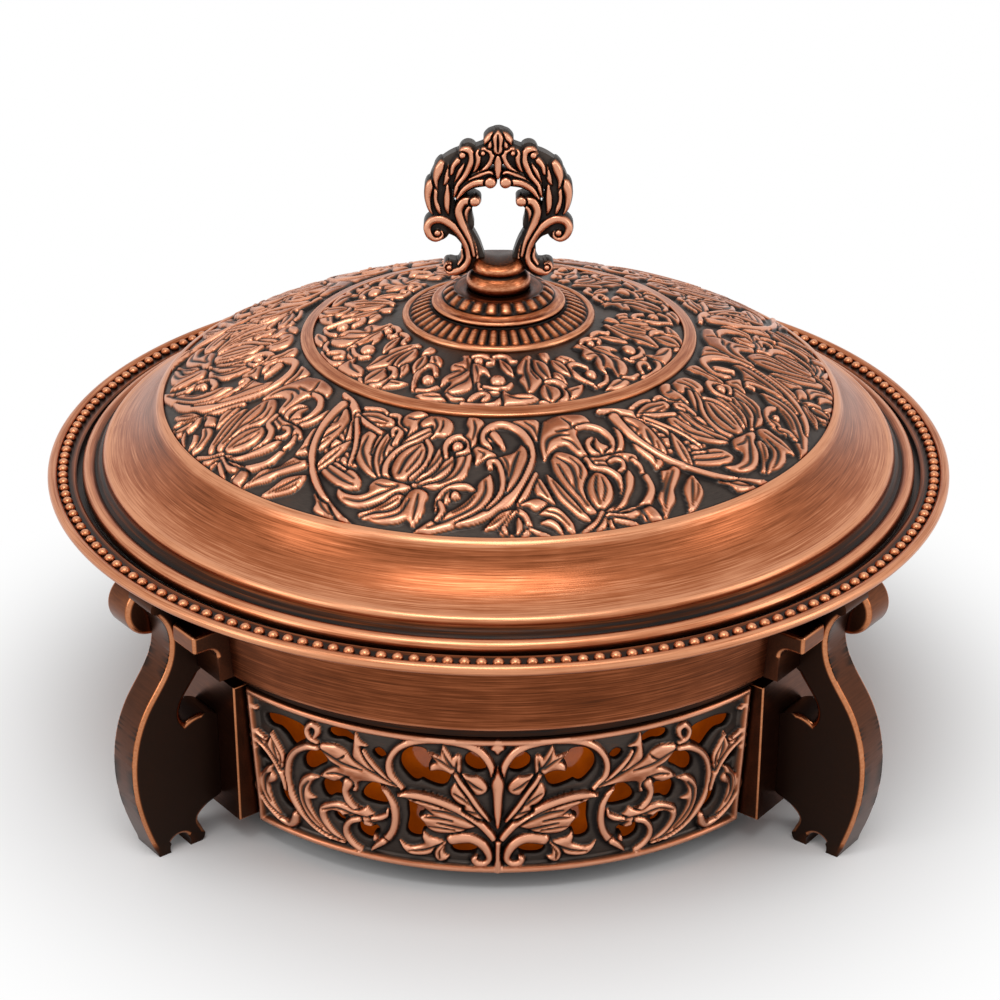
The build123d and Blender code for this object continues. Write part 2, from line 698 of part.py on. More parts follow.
def leg_outline():
    """Side view of a leg. The curves' points are outward from the leg's back, and heights above the floor, or above
    the leg's top when below zero."""
    def points(*offsets):
        return [(leg_back + out, height if height >= 0 else leg_top + height) for out, height in offsets]

    inner = block_face + part_gap
    edge = Spline(*points((25.6, 0), (30.7, 14.0), (35.3, 44.1), (26.9, 73.3), (15.0, -31.5), (13.3, -24.3),
                          (21.8, -4.8)))
    crown = (leg_back + 17.2, leg_top)
    head = ThreePointArc(edge @ 1, points((20.8, -1.2))[0], crown)
    back = Polyline(crown, (leg_back, leg_top), *points((0, 84.8)))
    hook = Spline(*points((0, 84.8), (7.3, 74.9), (10.9, 68.0), (9.0, 60.6)))
    shelf = ThreePointArc(*points((9.0, 60.6), (1.4, 62.6)), (inner, 59.8))
    inside = Line((inner, 59.8), (inner, 20.6))
    spur = Spline((inner, 20.6), *points((0.2, 16.5), (5.2, 11.4), (2.7, 4.5), (4.3, 0)))
    pad = Line(*points((4.3, 0), (10.1, 0)))
    notch = ThreePointArc(*points((10.1, 0), (14.4, 7.0), (19.8, 0)))
    toe = Line(*points((19.8, 0), (25.6, 0)))
    return make_face((Curve() + [edge, head, back, hook, shelf, inside, spur, pad, notch, toe]).edges())


def screw_bores(radius):
    """Straight bores along +X for the screws that hold a leg."""
    bores = Part()
    length = screw_bite + block_face - block_inner_radius + 2 * screw_head_height
    for height in (band_screw_height,) + block_screw_heights:
        face = leg_back if height == band_screw_height else block_face
        bores += Pos(face + screw_bite - length / 2, 0, height) * Rot(0, 90, 0) * Cylinder(radius, length)
    return bores


def leg_screw_holes():
    holes = Part()
    for corner in corners:
        hole = Rot(0, 90, 0) * Cylinder(screw_radius + screw_clearance, 2 * screw_bite)
        holes += at_corner(Pos(band_foot_radius, 0, band_screw_height) * hole, corner)
    return holes


def leg():
    body = extrude(Plane.XZ * leg_outline(), amount=leg_thickness / 2, both=True)
    return body - screw_bores(screw_radius)


def mounting_block():
    depth = 2 * (block_face - block_inner_radius)
    block_foot = gallery_foot + block_foot_rise
    size = Box(depth, 2 * block_half_width, gallery_top - block_foot)
    body = Pos(block_face - depth / 2, 0, (block_foot + gallery_top) / 2) * size
    return body - disc(block_inner_radius, block_foot, gallery_top) - screw_bores(screw_radius + screw_clearance)


def bracket_profile():
    """Side view of the bracket's bar over its stem, with a round hollow between them."""
    stem = band_foot_radius + bracket_stem_reach
    root = band_foot_radius - band_wall
    cove_foot = bracket_bar_foot - bracket_cove
    cove_bend = bracket_cove * (1 - math.sqrt(0.5))
    return make_face((Curve() + [
        Polyline((root, bracket_foot), (stem, bracket_foot), (stem, cove_foot)),
        ThreePointArc((stem, cove_foot), (stem + cove_bend, bracket_bar_foot - cove_bend),
                      (stem + bracket_cove, bracket_bar_foot)),
        Polyline((stem + bracket_cove, bracket_bar_foot), (bracket_reach, bracket_bar_foot),
                 (bracket_reach, bracket_top), (root, bracket_top), (root, bracket_foot)),
    ]).edges())


def bracket():
    """Corbel on the band: a bar beside the leg's near side, and a plain cheek beyond it."""
    slot = leg_thickness / 2 + part_gap
    cheek_width = bracket_half_width - slot
    root = band_foot_radius - band_wall
    near = Pos(0, bracket_half_width, 0) * extrude(Plane.XZ * bracket_profile(), amount=cheek_width)
    pad_face = leg_back - part_gap
    pad_size = Box(pad_face - root, 2 * bracket_half_width, bracket_top - bracket_foot)
    pad = Pos((root + pad_face) / 2, 0, (bracket_foot + bracket_top) / 2) * pad_size
    cheek_top = roll_centre_height - roll_radius - part_gap
    stem = band_foot_radius + bracket_stem_reach
    cheek_size = Box(stem - root, cheek_width, cheek_top - bracket_foot)
    cheek = Pos((root + stem) / 2, -slot - cheek_width / 2, (bracket_foot + cheek_top) / 2) * cheek_size
    return near + pad + cheek - band_solid(part_gap) - screw_bores(screw_radius + screw_clearance)


def scroll_roll():
    """Round end of the bracket's bar, beyond the leg's far side."""
    slot = leg_thickness / 2 + part_gap
    width = bracket_half_width - slot
    middle = -slot - width / 2
    roll = Pos(roll_centre_reach, middle, roll_centre_height) * Rot(90, 0, 0) * Cylinder(roll_radius, width)
    web_size = Box(roll_centre_reach - leg_back, width, roll_radius)
    web = Pos((leg_back + roll_centre_reach) / 2, middle, roll_centre_height + roll_radius / 2) * web_size
    keep = Pos(leg_back + 2 * roll_radius, middle, roll_centre_height) * Box(4 * roll_radius, width, 4 * roll_radius)
    return (roll + web) & keep


def band_solid(gap):
    """The band's outer shape, grown by a gap, which the brackets fit round."""
    return turned_polygon(
        (0, gallery_top), (band_foot_radius + gap, gallery_top), (band_foot_radius + gap, band_foot),
        (band_top_radius + gap, band_top), (0, band_top),
    )


def radial_screw(start, height, length):
    shank = Pos(start + length / 2, 0, height) * Rot(0, 90, 0) * Cylinder(screw_radius, length)
    head = Pos(start - screw_head_height / 2, 0, height) * Rot(0, 90, 0) * Cylinder(
        screw_head_radius, screw_head_height)
    return shank + head


def leg_screws():
    """Screws from inside the band, through the bracket into each leg's head."""
    share = (band_screw_height - screw_head_radius - band_foot) / band_height
    wall = band_foot_radius + band_flare * share - band_wall
    start = math.sqrt(wall**2 - screw_head_radius**2) - part_gap
    one = radial_screw(start, band_screw_height, leg_back + screw_bite - part_gap - start)
    return [at_corner(one, corner) for corner in corners]


def block_screws():
    """Screws from inside the gallery, through each block into its leg."""
    start = math.sqrt(block_inner_radius**2 - screw_head_radius**2) - part_gap
    screws = []
    for corner in corners:
        for height in block_screw_heights:
            one = radial_screw(start, height, block_face + screw_bite - part_gap - start)
            screws.append(at_corner(one, corner))
    return screws


def block_half_angle():
    """Half the angle that a mounting block takes at the gallery's inner side."""
    return math.degrees(math.asin((block_half_width + panel_play) / block_inner_radius))


def main():
    os.makedirs("parts", exist_ok=True)
    save(dish_body(), "dish_body")
    save(bead_ring(), "bead_ring")
    save(food_pan(), "food_pan")
    save(lid_shell(), "lid_shell")
    save(lid_trim_ring(), "lid_trim_ring")
    save(lid_locating_ring(), "lid_locating_ring")
    save(rosette_plate(), "rosette_plate")
    save(rosette_cup(), "rosette_cup")
    save(handle_neck(), "handle_neck")
    save(handle_wreath(), "handle_wreath")
    save(handle_stud(), "handle_stud")
    save(stud_washer(), "stud_washer")
    save(stud_nut(), "stud_nut")
    save(band_collar(), "band_collar")
    save(neck_ring(), "neck_ring")
    front_half = leg_azimuth - block_half_angle()
    side_half = 90 - leg_azimuth - block_half_angle()
    panels = {"front": (front_half, 0), "right": (side_half, 90), "rear": (front_half, 180), "left": (side_half, 270)}
    for side, (half_angle, turn) in panels.items():
        save(gallery_panel(half_angle, turn), f"gallery_panel_{side}")
    save(glass_liner(), "glass_liner")
    save(burner_shelf(), "burner_shelf")
    save(seat_ring(), "burner_seat_ring")
    save(burner_cup(), "burner_cup")
    save(burner_top_plate(), "burner_top_plate")
    save(wick_pad(), "wick_pad")
    save(snuffer_pivot(), "snuffer_pivot")
    save(snuffer(), "snuffer")
    one_leg = leg()
    one_block = mounting_block()
    one_bracket = bracket()
    one_roll = scroll_roll()
    for corner in corners:
        save(at_corner(one_leg, corner), f"leg_{corner}")
        save(at_corner(one_block, corner), f"mounting_block_{corner}")
        save(at_corner(one_bracket, corner), f"bracket_{corner}")
        save(at_corner(one_roll, corner), f"scroll_roll_{corner}")
    save(Compound(children=leg_screws()), "leg_screws")
    save(Compound(children=block_screws()), "block_screws")


main()
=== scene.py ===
import math

import bmesh
import bpy
import numpy as np
from mathutils import Matrix, Vector


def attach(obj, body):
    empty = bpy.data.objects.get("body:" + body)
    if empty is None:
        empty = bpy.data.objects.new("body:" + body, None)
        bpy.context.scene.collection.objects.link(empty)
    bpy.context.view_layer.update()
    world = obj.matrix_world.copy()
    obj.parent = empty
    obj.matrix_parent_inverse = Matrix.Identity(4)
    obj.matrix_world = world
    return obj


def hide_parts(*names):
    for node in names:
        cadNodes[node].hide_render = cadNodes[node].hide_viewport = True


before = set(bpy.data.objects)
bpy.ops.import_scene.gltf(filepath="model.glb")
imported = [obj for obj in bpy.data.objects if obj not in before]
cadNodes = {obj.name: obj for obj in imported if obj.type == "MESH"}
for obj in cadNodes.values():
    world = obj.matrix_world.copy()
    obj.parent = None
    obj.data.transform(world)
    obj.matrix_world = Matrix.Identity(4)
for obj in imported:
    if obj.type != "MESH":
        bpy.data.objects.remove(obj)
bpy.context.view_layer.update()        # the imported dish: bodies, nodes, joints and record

# A covered serving dish of antiqued copper on a pierced stand.
# Sizes are in millimetres until a mesh is written; z is up and the front faces -y.
mm = 0.001
print("frame loaded,", len(cadNodes), "nodes")


# Small tools

def linearColour(hexValue):
    parts = [int(hexValue[i:i + 2], 16) / 255 for i in (0, 2, 4)]
    return [p / 12.92 if p <= 0.04045 else ((p + 0.055) / 1.055) ** 2.4 for p in parts] + [1.0]


def addNode(tree, kind, values=None, links=None, stops=None, **settings):
    # one node with its settings, plain values, links, and colour stops where it is a ramp
    node = tree.nodes.new(kind)
    for key, value in settings.items():
        setattr(node, key, value)
    for key, value in (values or {}).items():
        node.inputs[key].default_value = value
    for key, socket in (links or {}).items():
        tree.links.new(socket, node.inputs[key])
    if stops:
        elements = node.color_ramp.elements
        while len(elements) < len(stops):
            elements.new(0.5)
        for element, (place, hexValue) in zip(elements, stops):
            element.position = place
            element.color = linearColour(hexValue)
    return node


def newMaterial(name):
    material = bpy.data.materials.new(name)
    material.use_nodes = True
    material.node_tree.nodes.clear()
    return material, material.node_tree


def finishPiece(name, bm, spec, material, sharp=40, dress=None):
    # makes the object, lets dress() shape its points, parents it to its body and hides the nodes it stands for
    mesh = bpy.data.meshes.new(name)
    bm.to_mesh(mesh)
    bm.free()
    if dress:
        dress(mesh)
    mesh.shade_smooth()
    mesh.set_sharp_from_angle(angle=math.radians(sharp))
    mesh.materials.append(material)
    piece = bpy.data.objects.new(name, mesh)
    bpy.context.scene.collection.objects.link(piece)
    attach(piece, spec["body"])
    if spec.get("nodes"):
        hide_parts(*spec["nodes"])
    return piece


def readPoints(mesh):
    places = np.zeros(len(mesh.vertices) * 3)
    mesh.vertices.foreach_get("co", places)
    return places.reshape(-1, 3) / mm


def writePoints(mesh, places):
    mesh.vertices.foreach_set("co", (places * mm).ravel())
    mesh.update()


def writeWearAndPaintedLight(mesh, wearAndPaintedLight):
    layer = mesh.attributes.get("wearAndPaintedLight") or mesh.attributes.new("wearAndPaintedLight", "FLOAT", "POINT")
    layer.data.foreach_set("value", np.clip(wearAndPaintedLight, 0, 1).astype(np.float32))


# Finishes. The per-point value written here is partly real and partly painted light: it runs from 0 in a hollow, where
# the dark antiquing stays and painted shade darkens it further, to 1 on an edge rubbed back to copper and painted as a
# highlight.

def antiquedCopper(name, tones, rough, brushPitch=0.7, brushLength=30, brushDepth=0.3, patchSize=28, patchDepth=0.22,
                   bump=0.12):
    # copper plate darkened in a bath and rubbed back: brushed round the axis, cloudy, and duller where dark
    material, tree = newMaterial(name)
    place = addNode(tree, "ShaderNodeTexCoord").outputs["Object"]
    axes = addNode(tree, "ShaderNodeSeparateXYZ", links={0: place}).outputs
    flat = addNode(tree, "ShaderNodeVectorMath", {1: (1, 1, 0)}, {0: place}, operation="MULTIPLY").outputs[0]
    radius = addNode(tree, "ShaderNodeVectorMath", links={0: flat}, operation="LENGTH").outputs["Value"]
    turn = addNode(tree, "ShaderNodeMath", links={0: axes["Y"], 1: axes["X"]}, operation="ARCTAN2").outputs[0]
    around = addNode(tree, "ShaderNodeMath", {1: 0.15 * brushPitch / brushLength}, {0: turn},
                     operation="MULTIPLY").outputs[0]
    lines = addNode(tree, "ShaderNodeCombineXYZ", links={0: radius, 1: around, 2: axes["Z"]}).outputs[0]
    brush = addNode(tree, "ShaderNodeTexNoise", {"Scale": 1 / (brushPitch * mm), "Detail": 2.5, "Roughness": 0.6},
                    {"Vector": lines}).outputs["Fac"]
    patch = addNode(tree, "ShaderNodeTexNoise", {"Scale": 1 / (patchSize * mm), "Detail": 4.0, "Roughness": 0.62},
                    {"Vector": place}).outputs["Fac"]
    # the per-point value read here holds patina and rubbing together with painted shade in hollows and painted
    # highlight on crests and edges
    wearAndPaintedLight = addNode(tree, "ShaderNodeAttribute", attribute_name="wearAndPaintedLight").outputs["Fac"]
    streak = addNode(tree, "ShaderNodeMath", {1: -0.5}, {0: brush}, operation="ADD").outputs[0]
    streak = addNode(tree, "ShaderNodeMath", {1: brushDepth}, {0: streak, 2: wearAndPaintedLight}, operation="MULTIPLY_ADD").outputs[0]
    cloud = addNode(tree, "ShaderNodeMath", {1: -0.5}, {0: patch}, operation="ADD").outputs[0]
    level = addNode(tree, "ShaderNodeMath", {1: patchDepth}, {0: cloud, 2: streak}, operation="MULTIPLY_ADD").outputs[0]
    colour = addNode(tree, "ShaderNodeValToRGB", links={0: level}, stops=tones).outputs["Color"]
    dull = addNode(tree, "ShaderNodeMapRange", {1: 0.0, 2: 0.8, 3: rough[0], 4: rough[1]}, {0: level}).outputs[0]
    metal = addNode(tree, "ShaderNodeMapRange", {1: 0.0, 2: 0.35, 3: 0.75, 4: 1.0}, {0: level}).outputs[0]
    dents = addNode(tree, "ShaderNodeBump", {"Strength": bump, "Distance": 0.0004}, {"Height": brush}).outputs[0]
    shader = addNode(tree, "ShaderNodeBsdfPrincipled",
                     links={"Base Color": colour, "Roughness": dull, "Metallic": metal, "Normal": dents})
    addNode(tree, "ShaderNodeOutputMaterial", links={0: shader.outputs[0]})
    return material


# tone ramps: the low end is dark antiquing and painted shade, the high end rubbed copper and painted highlight
carvedTones = [(0.0, "14100f"), (0.2, "2a2320"), (0.36, "48403b"), (0.5, "66402c"), (0.7, "a05d3e"), (0.96, "e0a080")]
smoothTones = [(0.0, "120e0b"), (0.25, "3a2013"), (0.5, "6f3a20"), (0.75, "a55f3c"), (1.0, "d8956e")]
castTones = [(0.0, "120d0a"), (0.3, "2e1e16"), (0.5, "5a3422"), (0.75, "a5613a"), (1.0, "e8a67c")]

carvedCopper = antiquedCopper("carved_antique_copper", carvedTones, (0.5, 0.3), 0.5, 4, 0.16, 18, 0.16, 0.1)
turnedCopper = antiquedCopper("brushed_antique_copper", smoothTones, (0.4, 0.3), 0.55, 26, 0.7, 30, 0.22, 0.1)
castCopper = antiquedCopper("cast_darkened_copper", castTones, (0.42, 0.27), 0.8, 14, 0.16, 22, 0.14, 0.06)


def plainFinish(name, tone, other, size, rough, metallic=0.0, bump=0.1, **sockets):
    # a simple finish in two close tones, mottled at the given grain
    material, tree = newMaterial(name)
    place = addNode(tree, "ShaderNodeTexCoord").outputs["Object"]
    grain = addNode(tree, "ShaderNodeTexNoise", {"Scale": 1 / (size * mm), "Detail": 3.0}, {"Vector": place})
    colour = addNode(tree, "ShaderNodeValToRGB", links={0: grain.outputs["Fac"]}, stops=[(0.3, tone), (0.7, other)])
    dull = addNode(tree, "ShaderNodeMapRange", {1: 0.3, 2: 0.7, 3: rough[0], 4: rough[1]}, {0: grain.outputs["Fac"]})
    dents = addNode(tree, "ShaderNodeBump", {"Strength": bump, "Distance": 0.0003}, {"Height": grain.outputs["Fac"]})
    shader = addNode(tree, "ShaderNodeBsdfPrincipled", {"Metallic": metallic},
                     {"Base Color": colour.outputs["Color"], "Roughness": dull.outputs[0],
                      "Normal": dents.outputs[0]})
    for key, value in sockets.items():
        shader.inputs[key.replace("_", " ")].default_value = value
    addNode(tree, "ShaderNodeOutputMaterial", links={0: shader.outputs[0]})
    return material


# steel: satin, faintly grained; glass: streaky amber whose bright streaks are partly painted highlight, with a low
# painted glow standing in for the light through it; fibre: pale felt
satinSteel = plainFinish("satin_steel", "a8a6a3", "bdbbb8", 0.6, (0.28, 0.36), 1.0, 0.08)
amberGlass = plainFinish("amber_glass", "5e1e03", "e8780e", 15, (0.06, 0.12), 0.0, 0.05, IOR=1.5,
                         Transmission_Weight=0.2, Emission_Color=linearColour("c9580a"), Emission_Strength=0.16)
wickFibre = plainFinish("wick_fibre", "cfc6b2", "e6dfce", 1.2, (0.9, 0.98), 0.0, 0.6)


# Turned pieces: a profile of (radius, height, rubbing and painted light) points, spun about the axis. The third value
# is partly patina and rubbing, partly painted shade in grooves and under edges and painted highlight on rolled edges.

def arc(centreR, centreZ, radius, start, end, count, wearAndPaintedLight):
    # the rubbing-and-painted-light value is one value, or (at the start, in the middle, at the end)
    marks = wearAndPaintedLight if isinstance(wearAndPaintedLight, tuple) else (wearAndPaintedLight, wearAndPaintedLight, wearAndPaintedLight)
    points = []
    for i in range(count + 1):
        share = i / count
        angle = math.radians(start + (end - start) * share)
        tone = marks[0] + (marks[1] - marks[0]) * 2 * share if share < 0.5 else (
            marks[1] + (marks[2] - marks[1]) * (2 * share - 1))
        points.append((centreR + radius * math.cos(angle), centreZ + radius * math.sin(angle), tone))
    return points


def bend(first, middle, last, count, wearAndPaintedLight):
    # arc through three (radius, height) points
    (ax, ay), (bx, by), (cx, cy) = first, middle, last
    d = 2 * (ax * (by - cy) + bx * (cy - ay) + cx * (ay - by))
    ux = ((ax**2 + ay**2) * (by - cy) + (bx**2 + by**2) * (cy - ay) + (cx**2 + cy**2) * (ay - by)) / d
    uy = ((ax**2 + ay**2) * (cx - bx) + (bx**2 + by**2) * (ax - cx) + (cx**2 + cy**2) * (bx - ax)) / d
    start, through, end = (math.degrees(math.atan2(y - uy, x - ux)) for x, y in (first, middle, last))
    turnTo = (end - start) % 360
    if (through - start) % 360 > turnTo:
        turnTo -= 360
    return arc(ux, uy, math.hypot(ax - ux, ay - uy), start, start + turnTo, count, wearAndPaintedLight)


dome = {"radius": 315.0, "centre": -112.63}     # the ball that both carved bands lie on


def domeHeight(r, lift=0.0):
    return dome["centre"] + math.sqrt((dome["radius"] + lift) ** 2 - r * r)


def domeRun(fromR, toR, lift, count, wearAndPaintedLight):
    steps = [fromR + (toR - fromR) * i / count for i in range(count + 1)]
    return [(r, domeHeight(r, lift), wearAndPaintedLight) for r in steps]


def spinProfile(profile, steps, turn=360, start=0):
    bm = bmesh.new()
    across = Matrix.Rotation(math.radians(start), 3, "Z") @ Vector((0, -1, 0))
    verts = [bm.verts.new(across * r * mm + Vector((0, 0, z * mm))) for r, z, _ in profile]
    edges = [bm.edges.new(pair) for pair in zip(verts, verts[1:])]
    if profile[0][0] > 1e-6 or profile[-1][0] > 1e-6:
        edges.append(bm.edges.new((verts[-1], verts[0])))
    whole = turn == 360
    bmesh.ops.spin(bm, geom=verts + edges, cent=(0, 0, 0), axis=(0, 0, 1), angle=math.radians(turn), steps=steps,
                   use_merge=whole)
    bmesh.ops.remove_doubles(bm, verts=bm.verts, dist=1e-6)
    if not whole:
        bmesh.ops.holes_fill(bm, edges=[e for e in bm.edges if e.is_boundary])
    bmesh.ops.recalc_face_normals(bm, faces=bm.faces)
    return bm


def profileWearAndPaintedLight(profile):
    table = np.array(profile)

    def dress(mesh):
        places = readPoints(mesh)
        radii = np.hypot(places[:, 0], places[:, 1])
        wearAndPaintedLight = np.zeros(len(places))
        for part in np.array_split(np.arange(len(places)), max(1, len(places) // 4000)):
            gaps = (radii[part, None] - table[:, 0]) ** 2 + (places[part, 2][:, None] - table[:, 1]) ** 2
            wearAndPaintedLight[part] = table[gaps.argmin(1), 2]
        writeWearAndPaintedLight(mesh, wearAndPaintedLight)
    return dress


def turnPiece(name, spec, profile, material, dress=None, sharp=40):
    base = profileWearAndPaintedLight(profile)

    def both(mesh):
        base(mesh)
        if dress:
            dress(mesh)
    return finishPiece(name, spinProfile(profile, spec["steps"]), spec, material, sharp, both)


# Carving: forms drawn on a flat field, later ones over earlier ones. Outlines make leaves and piercings, and lines
# make rods, petals, balls, cuts and the web between them.

def readStrokes(text):
    # each form is its kind and its marks: x,y and a half width, or in an outline x,y and 1 where the tip is sharp
    strokes = []
    for word in text.split():
        if word.isalpha():
            strokes.append((word, []))
        else:
            mark = [float(v) for v in word.split(",")]
            strokes[-1][1].append(mark + [0.0] * (3 - len(mark)))
    return [(kind, np.array(marks)) for kind, marks in strokes]


def newField(lowX, lowY, highX, highY, step, grow=0.0):
    # "gap" is the distance outside the forms, "open" the depth inside a piercing, and grow widens every raised form
    shape = (int((highY - lowY) / step) + 2, int((highX - lowX) / step) + 2)
    return {"lowX": lowX, "lowY": lowY, "step": step, "height": np.zeros(shape), "gap": np.full(shape, 50.0),
            "open": np.full(shape, -50.0), "grow": grow}


def curveThrough(marks, spacing):
    # smooth curve through all the marks but the first and the last
    runs = []
    for a, b, c, d in zip(marks, marks[1:], marks[2:], marks[3:]):
        count = max(2, int(np.hypot(*(c - b)[:2]) / spacing))
        t = np.linspace(0, 1, count, endpoint=False)[:, None]
        runs.append(0.5 * (2 * b + (c - a) * t + (2 * a - 5 * b + 4 * c - d) * t**2 + (3 * b - a - 3 * c + d) * t**3))
    return np.vstack(runs)


def smoothPath(points, spacing):
    if len(points) == 1:
        return points
    marks = np.vstack([2 * points[0] - points[1], points, 2 * points[-1] - points[-2]])
    path = np.vstack([curveThrough(marks, spacing), points[-1:]])
    path[:, 2] = np.maximum(path[:, 2], 0.25)
    return path


def outlinePath(points, spacing):
    # closed outline, with a sharp tip at each mark whose third value is 1
    tips = np.flatnonzero(points[:, 2] > 0.5)
    if not len(tips):
        return curveThrough(np.vstack([points[-1:], points, points[:2]]), spacing)
    ring = np.vstack([np.roll(points, -tips[0], axis=0), points[tips[:1]]])
    stops = list(tips - tips[0]) + [len(points)]
    return np.vstack([smoothPath(ring[i:j + 1], spacing)[:-1] for i, j in zip(stops, stops[1:])])


def outlineGap(path, gridX, gridY):
    # distance of each place of the grid from the outline, negative inside it
    x, y = np.meshgrid(gridX, gridY)
    nearest = np.full(x.shape, 1e9)
    inside = np.zeros(x.shape, bool)
    for (ax, ay), (bx, by) in zip(path[:, :2], np.roll(path[:, :2], -1, axis=0)):
        lx, ly = bx - ax, by - ay
        t = np.clip(((x - ax) * lx + (y - ay) * ly) / max(lx * lx + ly * ly, 1e-9), 0, 1)
        nearest = np.minimum(nearest, (x - ax - t * lx) ** 2 + (y - ay - t * ly) ** 2)
        rows = np.flatnonzero((gridY < ay) != (gridY < by))
        if len(rows):
            inside[rows] ^= gridX[None, :] < (ax + (gridY[rows] - ay) * lx / ly)[:, None]
    return np.where(inside, -1, 1) * np.sqrt(nearest)


strokeStyles = {
    # height of the middle, and the width of the groove left round the form
    "rod": {"height": 2.3, "moat": 0.9},
    "shape": {"height": 2.1, "moat": 0.9},
    "petal": {"height": 1.9, "moat": 0.8},
    "ball": {"height": 2.8, "moat": 0.8},
}
flatStyle = {"height": 0.0, "moat": 0.0}        # cuts, holes and webs raise nothing

carving = {"outlineStep": 0.9, "lineStep": 1.3, "lineGrow": 0.6, "reach": 3.5, "edgeRound": 1.7, "swellWidth": 4.0,
           "swell": 0.2, "fullWidth": 2.2, "rodCurve": 0.42, "ballCurve": 0.5, "overlap": 0.25, "moatCurve": 0.8,
           "cutDepth": 0.5, "cutSharpness": 0.8, "far": 50.0}


def drawStroke(field, kind, points, scale=1.0):
    # draws one form on the field: a closed outline, or a line with a half width at each mark
    style = strokeStyles.get(kind, flatStyle)
    step = field["step"]
    closed = kind in ("shape", "hole")
    points = points.copy()
    if kind in ("rod", "petal", "ball"):
        points[:, 2] += carving["lineGrow"] * field["grow"]
    path = outlinePath(points, carving["outlineStep"]) if closed else smoothPath(points, step * carving["lineStep"])
    wide = 0 if closed else path[:, 2].max()
    margin = style["moat"] + carving["reach"]
    rows, columns = field["height"].shape
    x0 = max(0, int((path[:, 0].min() - wide - margin - field["lowX"]) / step))
    x1 = min(columns, int((path[:, 0].max() + wide + margin - field["lowX"]) / step) + 2)
    y0 = max(0, int((path[:, 1].min() - wide - margin - field["lowY"]) / step))
    y1 = min(rows, int((path[:, 1].max() + wide + margin - field["lowY"]) / step) + 2)
    if x0 >= x1 or y0 >= y1:
        return
    gridX = field["lowX"] + np.arange(x0, x1) * step
    gridY = field["lowY"] + np.arange(y0, y1) * step
    window = (slice(y0, y1), slice(x0, x1))
    if closed:
        gap = outlineGap(path, gridX, gridY) - (field["grow"] if kind == "shape" else 0)
    else:
        gap = np.full((y1 - y0, x1 - x0), carving["far"])
        share = np.full(gap.shape, carving["far"])   # 0 on the middle line, 1 at the edge
        for x, y, half in path:
            reach = half + margin
            i0, i1 = np.searchsorted(gridX, (x - reach, x + reach))
            j0, j1 = np.searchsorted(gridY, (y - reach, y + reach))
            if i0 >= i1 or j0 >= j1:
                continue
            distance = np.hypot(gridX[None, i0:i1] - x, gridY[j0:j1, None] - y)
            near = (slice(j0, j1), slice(i0, i1))
            better = distance - half < gap[near]
            gap[near] = np.where(better, distance - half, gap[near])
            share[near] = np.where(better, distance / half, share[near])
    if kind == "hole":
        field["open"][window] = np.maximum(field["open"][window], -gap)
        return
    target = field["height"][window]
    if kind == "cut":
        target *= 1 - carving["cutDepth"] * np.exp(-carving["cutSharpness"] * share**2)
        return
    inside = gap < 0
    if kind != "web" and inside.any():
        top = style["height"] * scale
        if kind == "shape":
            rise = 1 - np.clip(-gap / carving["edgeRound"], 0, 1)
            swell = carving["swell"] * np.clip(-gap / carving["swellWidth"], 0, 1)
            face = np.sqrt(1 - rise**2) * (1 - carving["swell"] + swell)
        else:
            top *= min(1.0, (wide / carving["fullWidth"]) ** 0.5)
            face = np.clip(1 - share**2, 0, 1) ** carving["ballCurve" if kind == "ball" else "rodCurve"]
        lift = carving["overlap"] * float(target[inside].mean())
        moat = np.clip(gap / max(style["moat"], 1e-6), 0, 1) ** carving["moatCurve"]
        target *= np.where(inside, 1, moat)
        target[inside] = (top * face + lift)[inside]
    field["gap"][window] = np.minimum(field["gap"][window], gap)


def drawDesign(field, strokes, copies, scale=1.0):
    for kind, points in strokes:
        for copy in copies:
            placed = points.copy()
            placed[:, :2] = points[:, :2] @ np.array(copy).T
            drawStroke(field, kind, placed, scale)


def turned(degrees):
    c, s = math.cos(math.radians(degrees)), math.sin(math.radians(degrees))
    return ((c, -s), (s, c))


mirrored = [((1, 0), (0, 1)), ((-1, 0), (0, 1))]


def softened(layer, reach):
    # box blur, three times, over the given number of cells
    for axis in (0, 1):
        for _ in range(3):
            padded = np.pad(layer, [(reach, reach) if a == axis else (0, 0) for a in (0, 1)], mode="edge")
            total = np.cumsum(padded, axis=axis)
            high = np.take(total, range(2 * reach, total.shape[axis]), axis=axis)
            low = np.take(total, range(0, total.shape[axis] - 2 * reach), axis=axis)
            layer = (high - low) / (2 * reach)
    return layer


def readField(field, layer, x, y):
    # bilinear reading of a layer at places in millimetres
    values = field[layer]
    i = np.clip((x - field["lowX"]) / field["step"], 0, values.shape[1] - 1.001)
    j = np.clip((y - field["lowY"]) / field["step"], 0, values.shape[0] - 1.001)
    i0, j0 = i.astype(int), j.astype(int)
    i, j = i - i0, j - j0
    return ((values[j0, i0] * (1 - i) + values[j0, i0 + 1] * i) * (1 - j)
            + (values[j0 + 1, i0] * (1 - i) + values[j0 + 1, i0 + 1] * i) * j)


wearAndPaintedLightRules = {"bulgeReach": 1.6, "edgeReach": 0.6, "nearReach": 1.2, "nearHeight": 0.9, "base": 0.32, "height": 0.4,
             "bulge": 1.1, "edge": 1.5, "ground": 0.35, "groundNear": 0.33, "formFrom": 0.12, "formOver": 0.3,
             "gritBelow": 0.3}


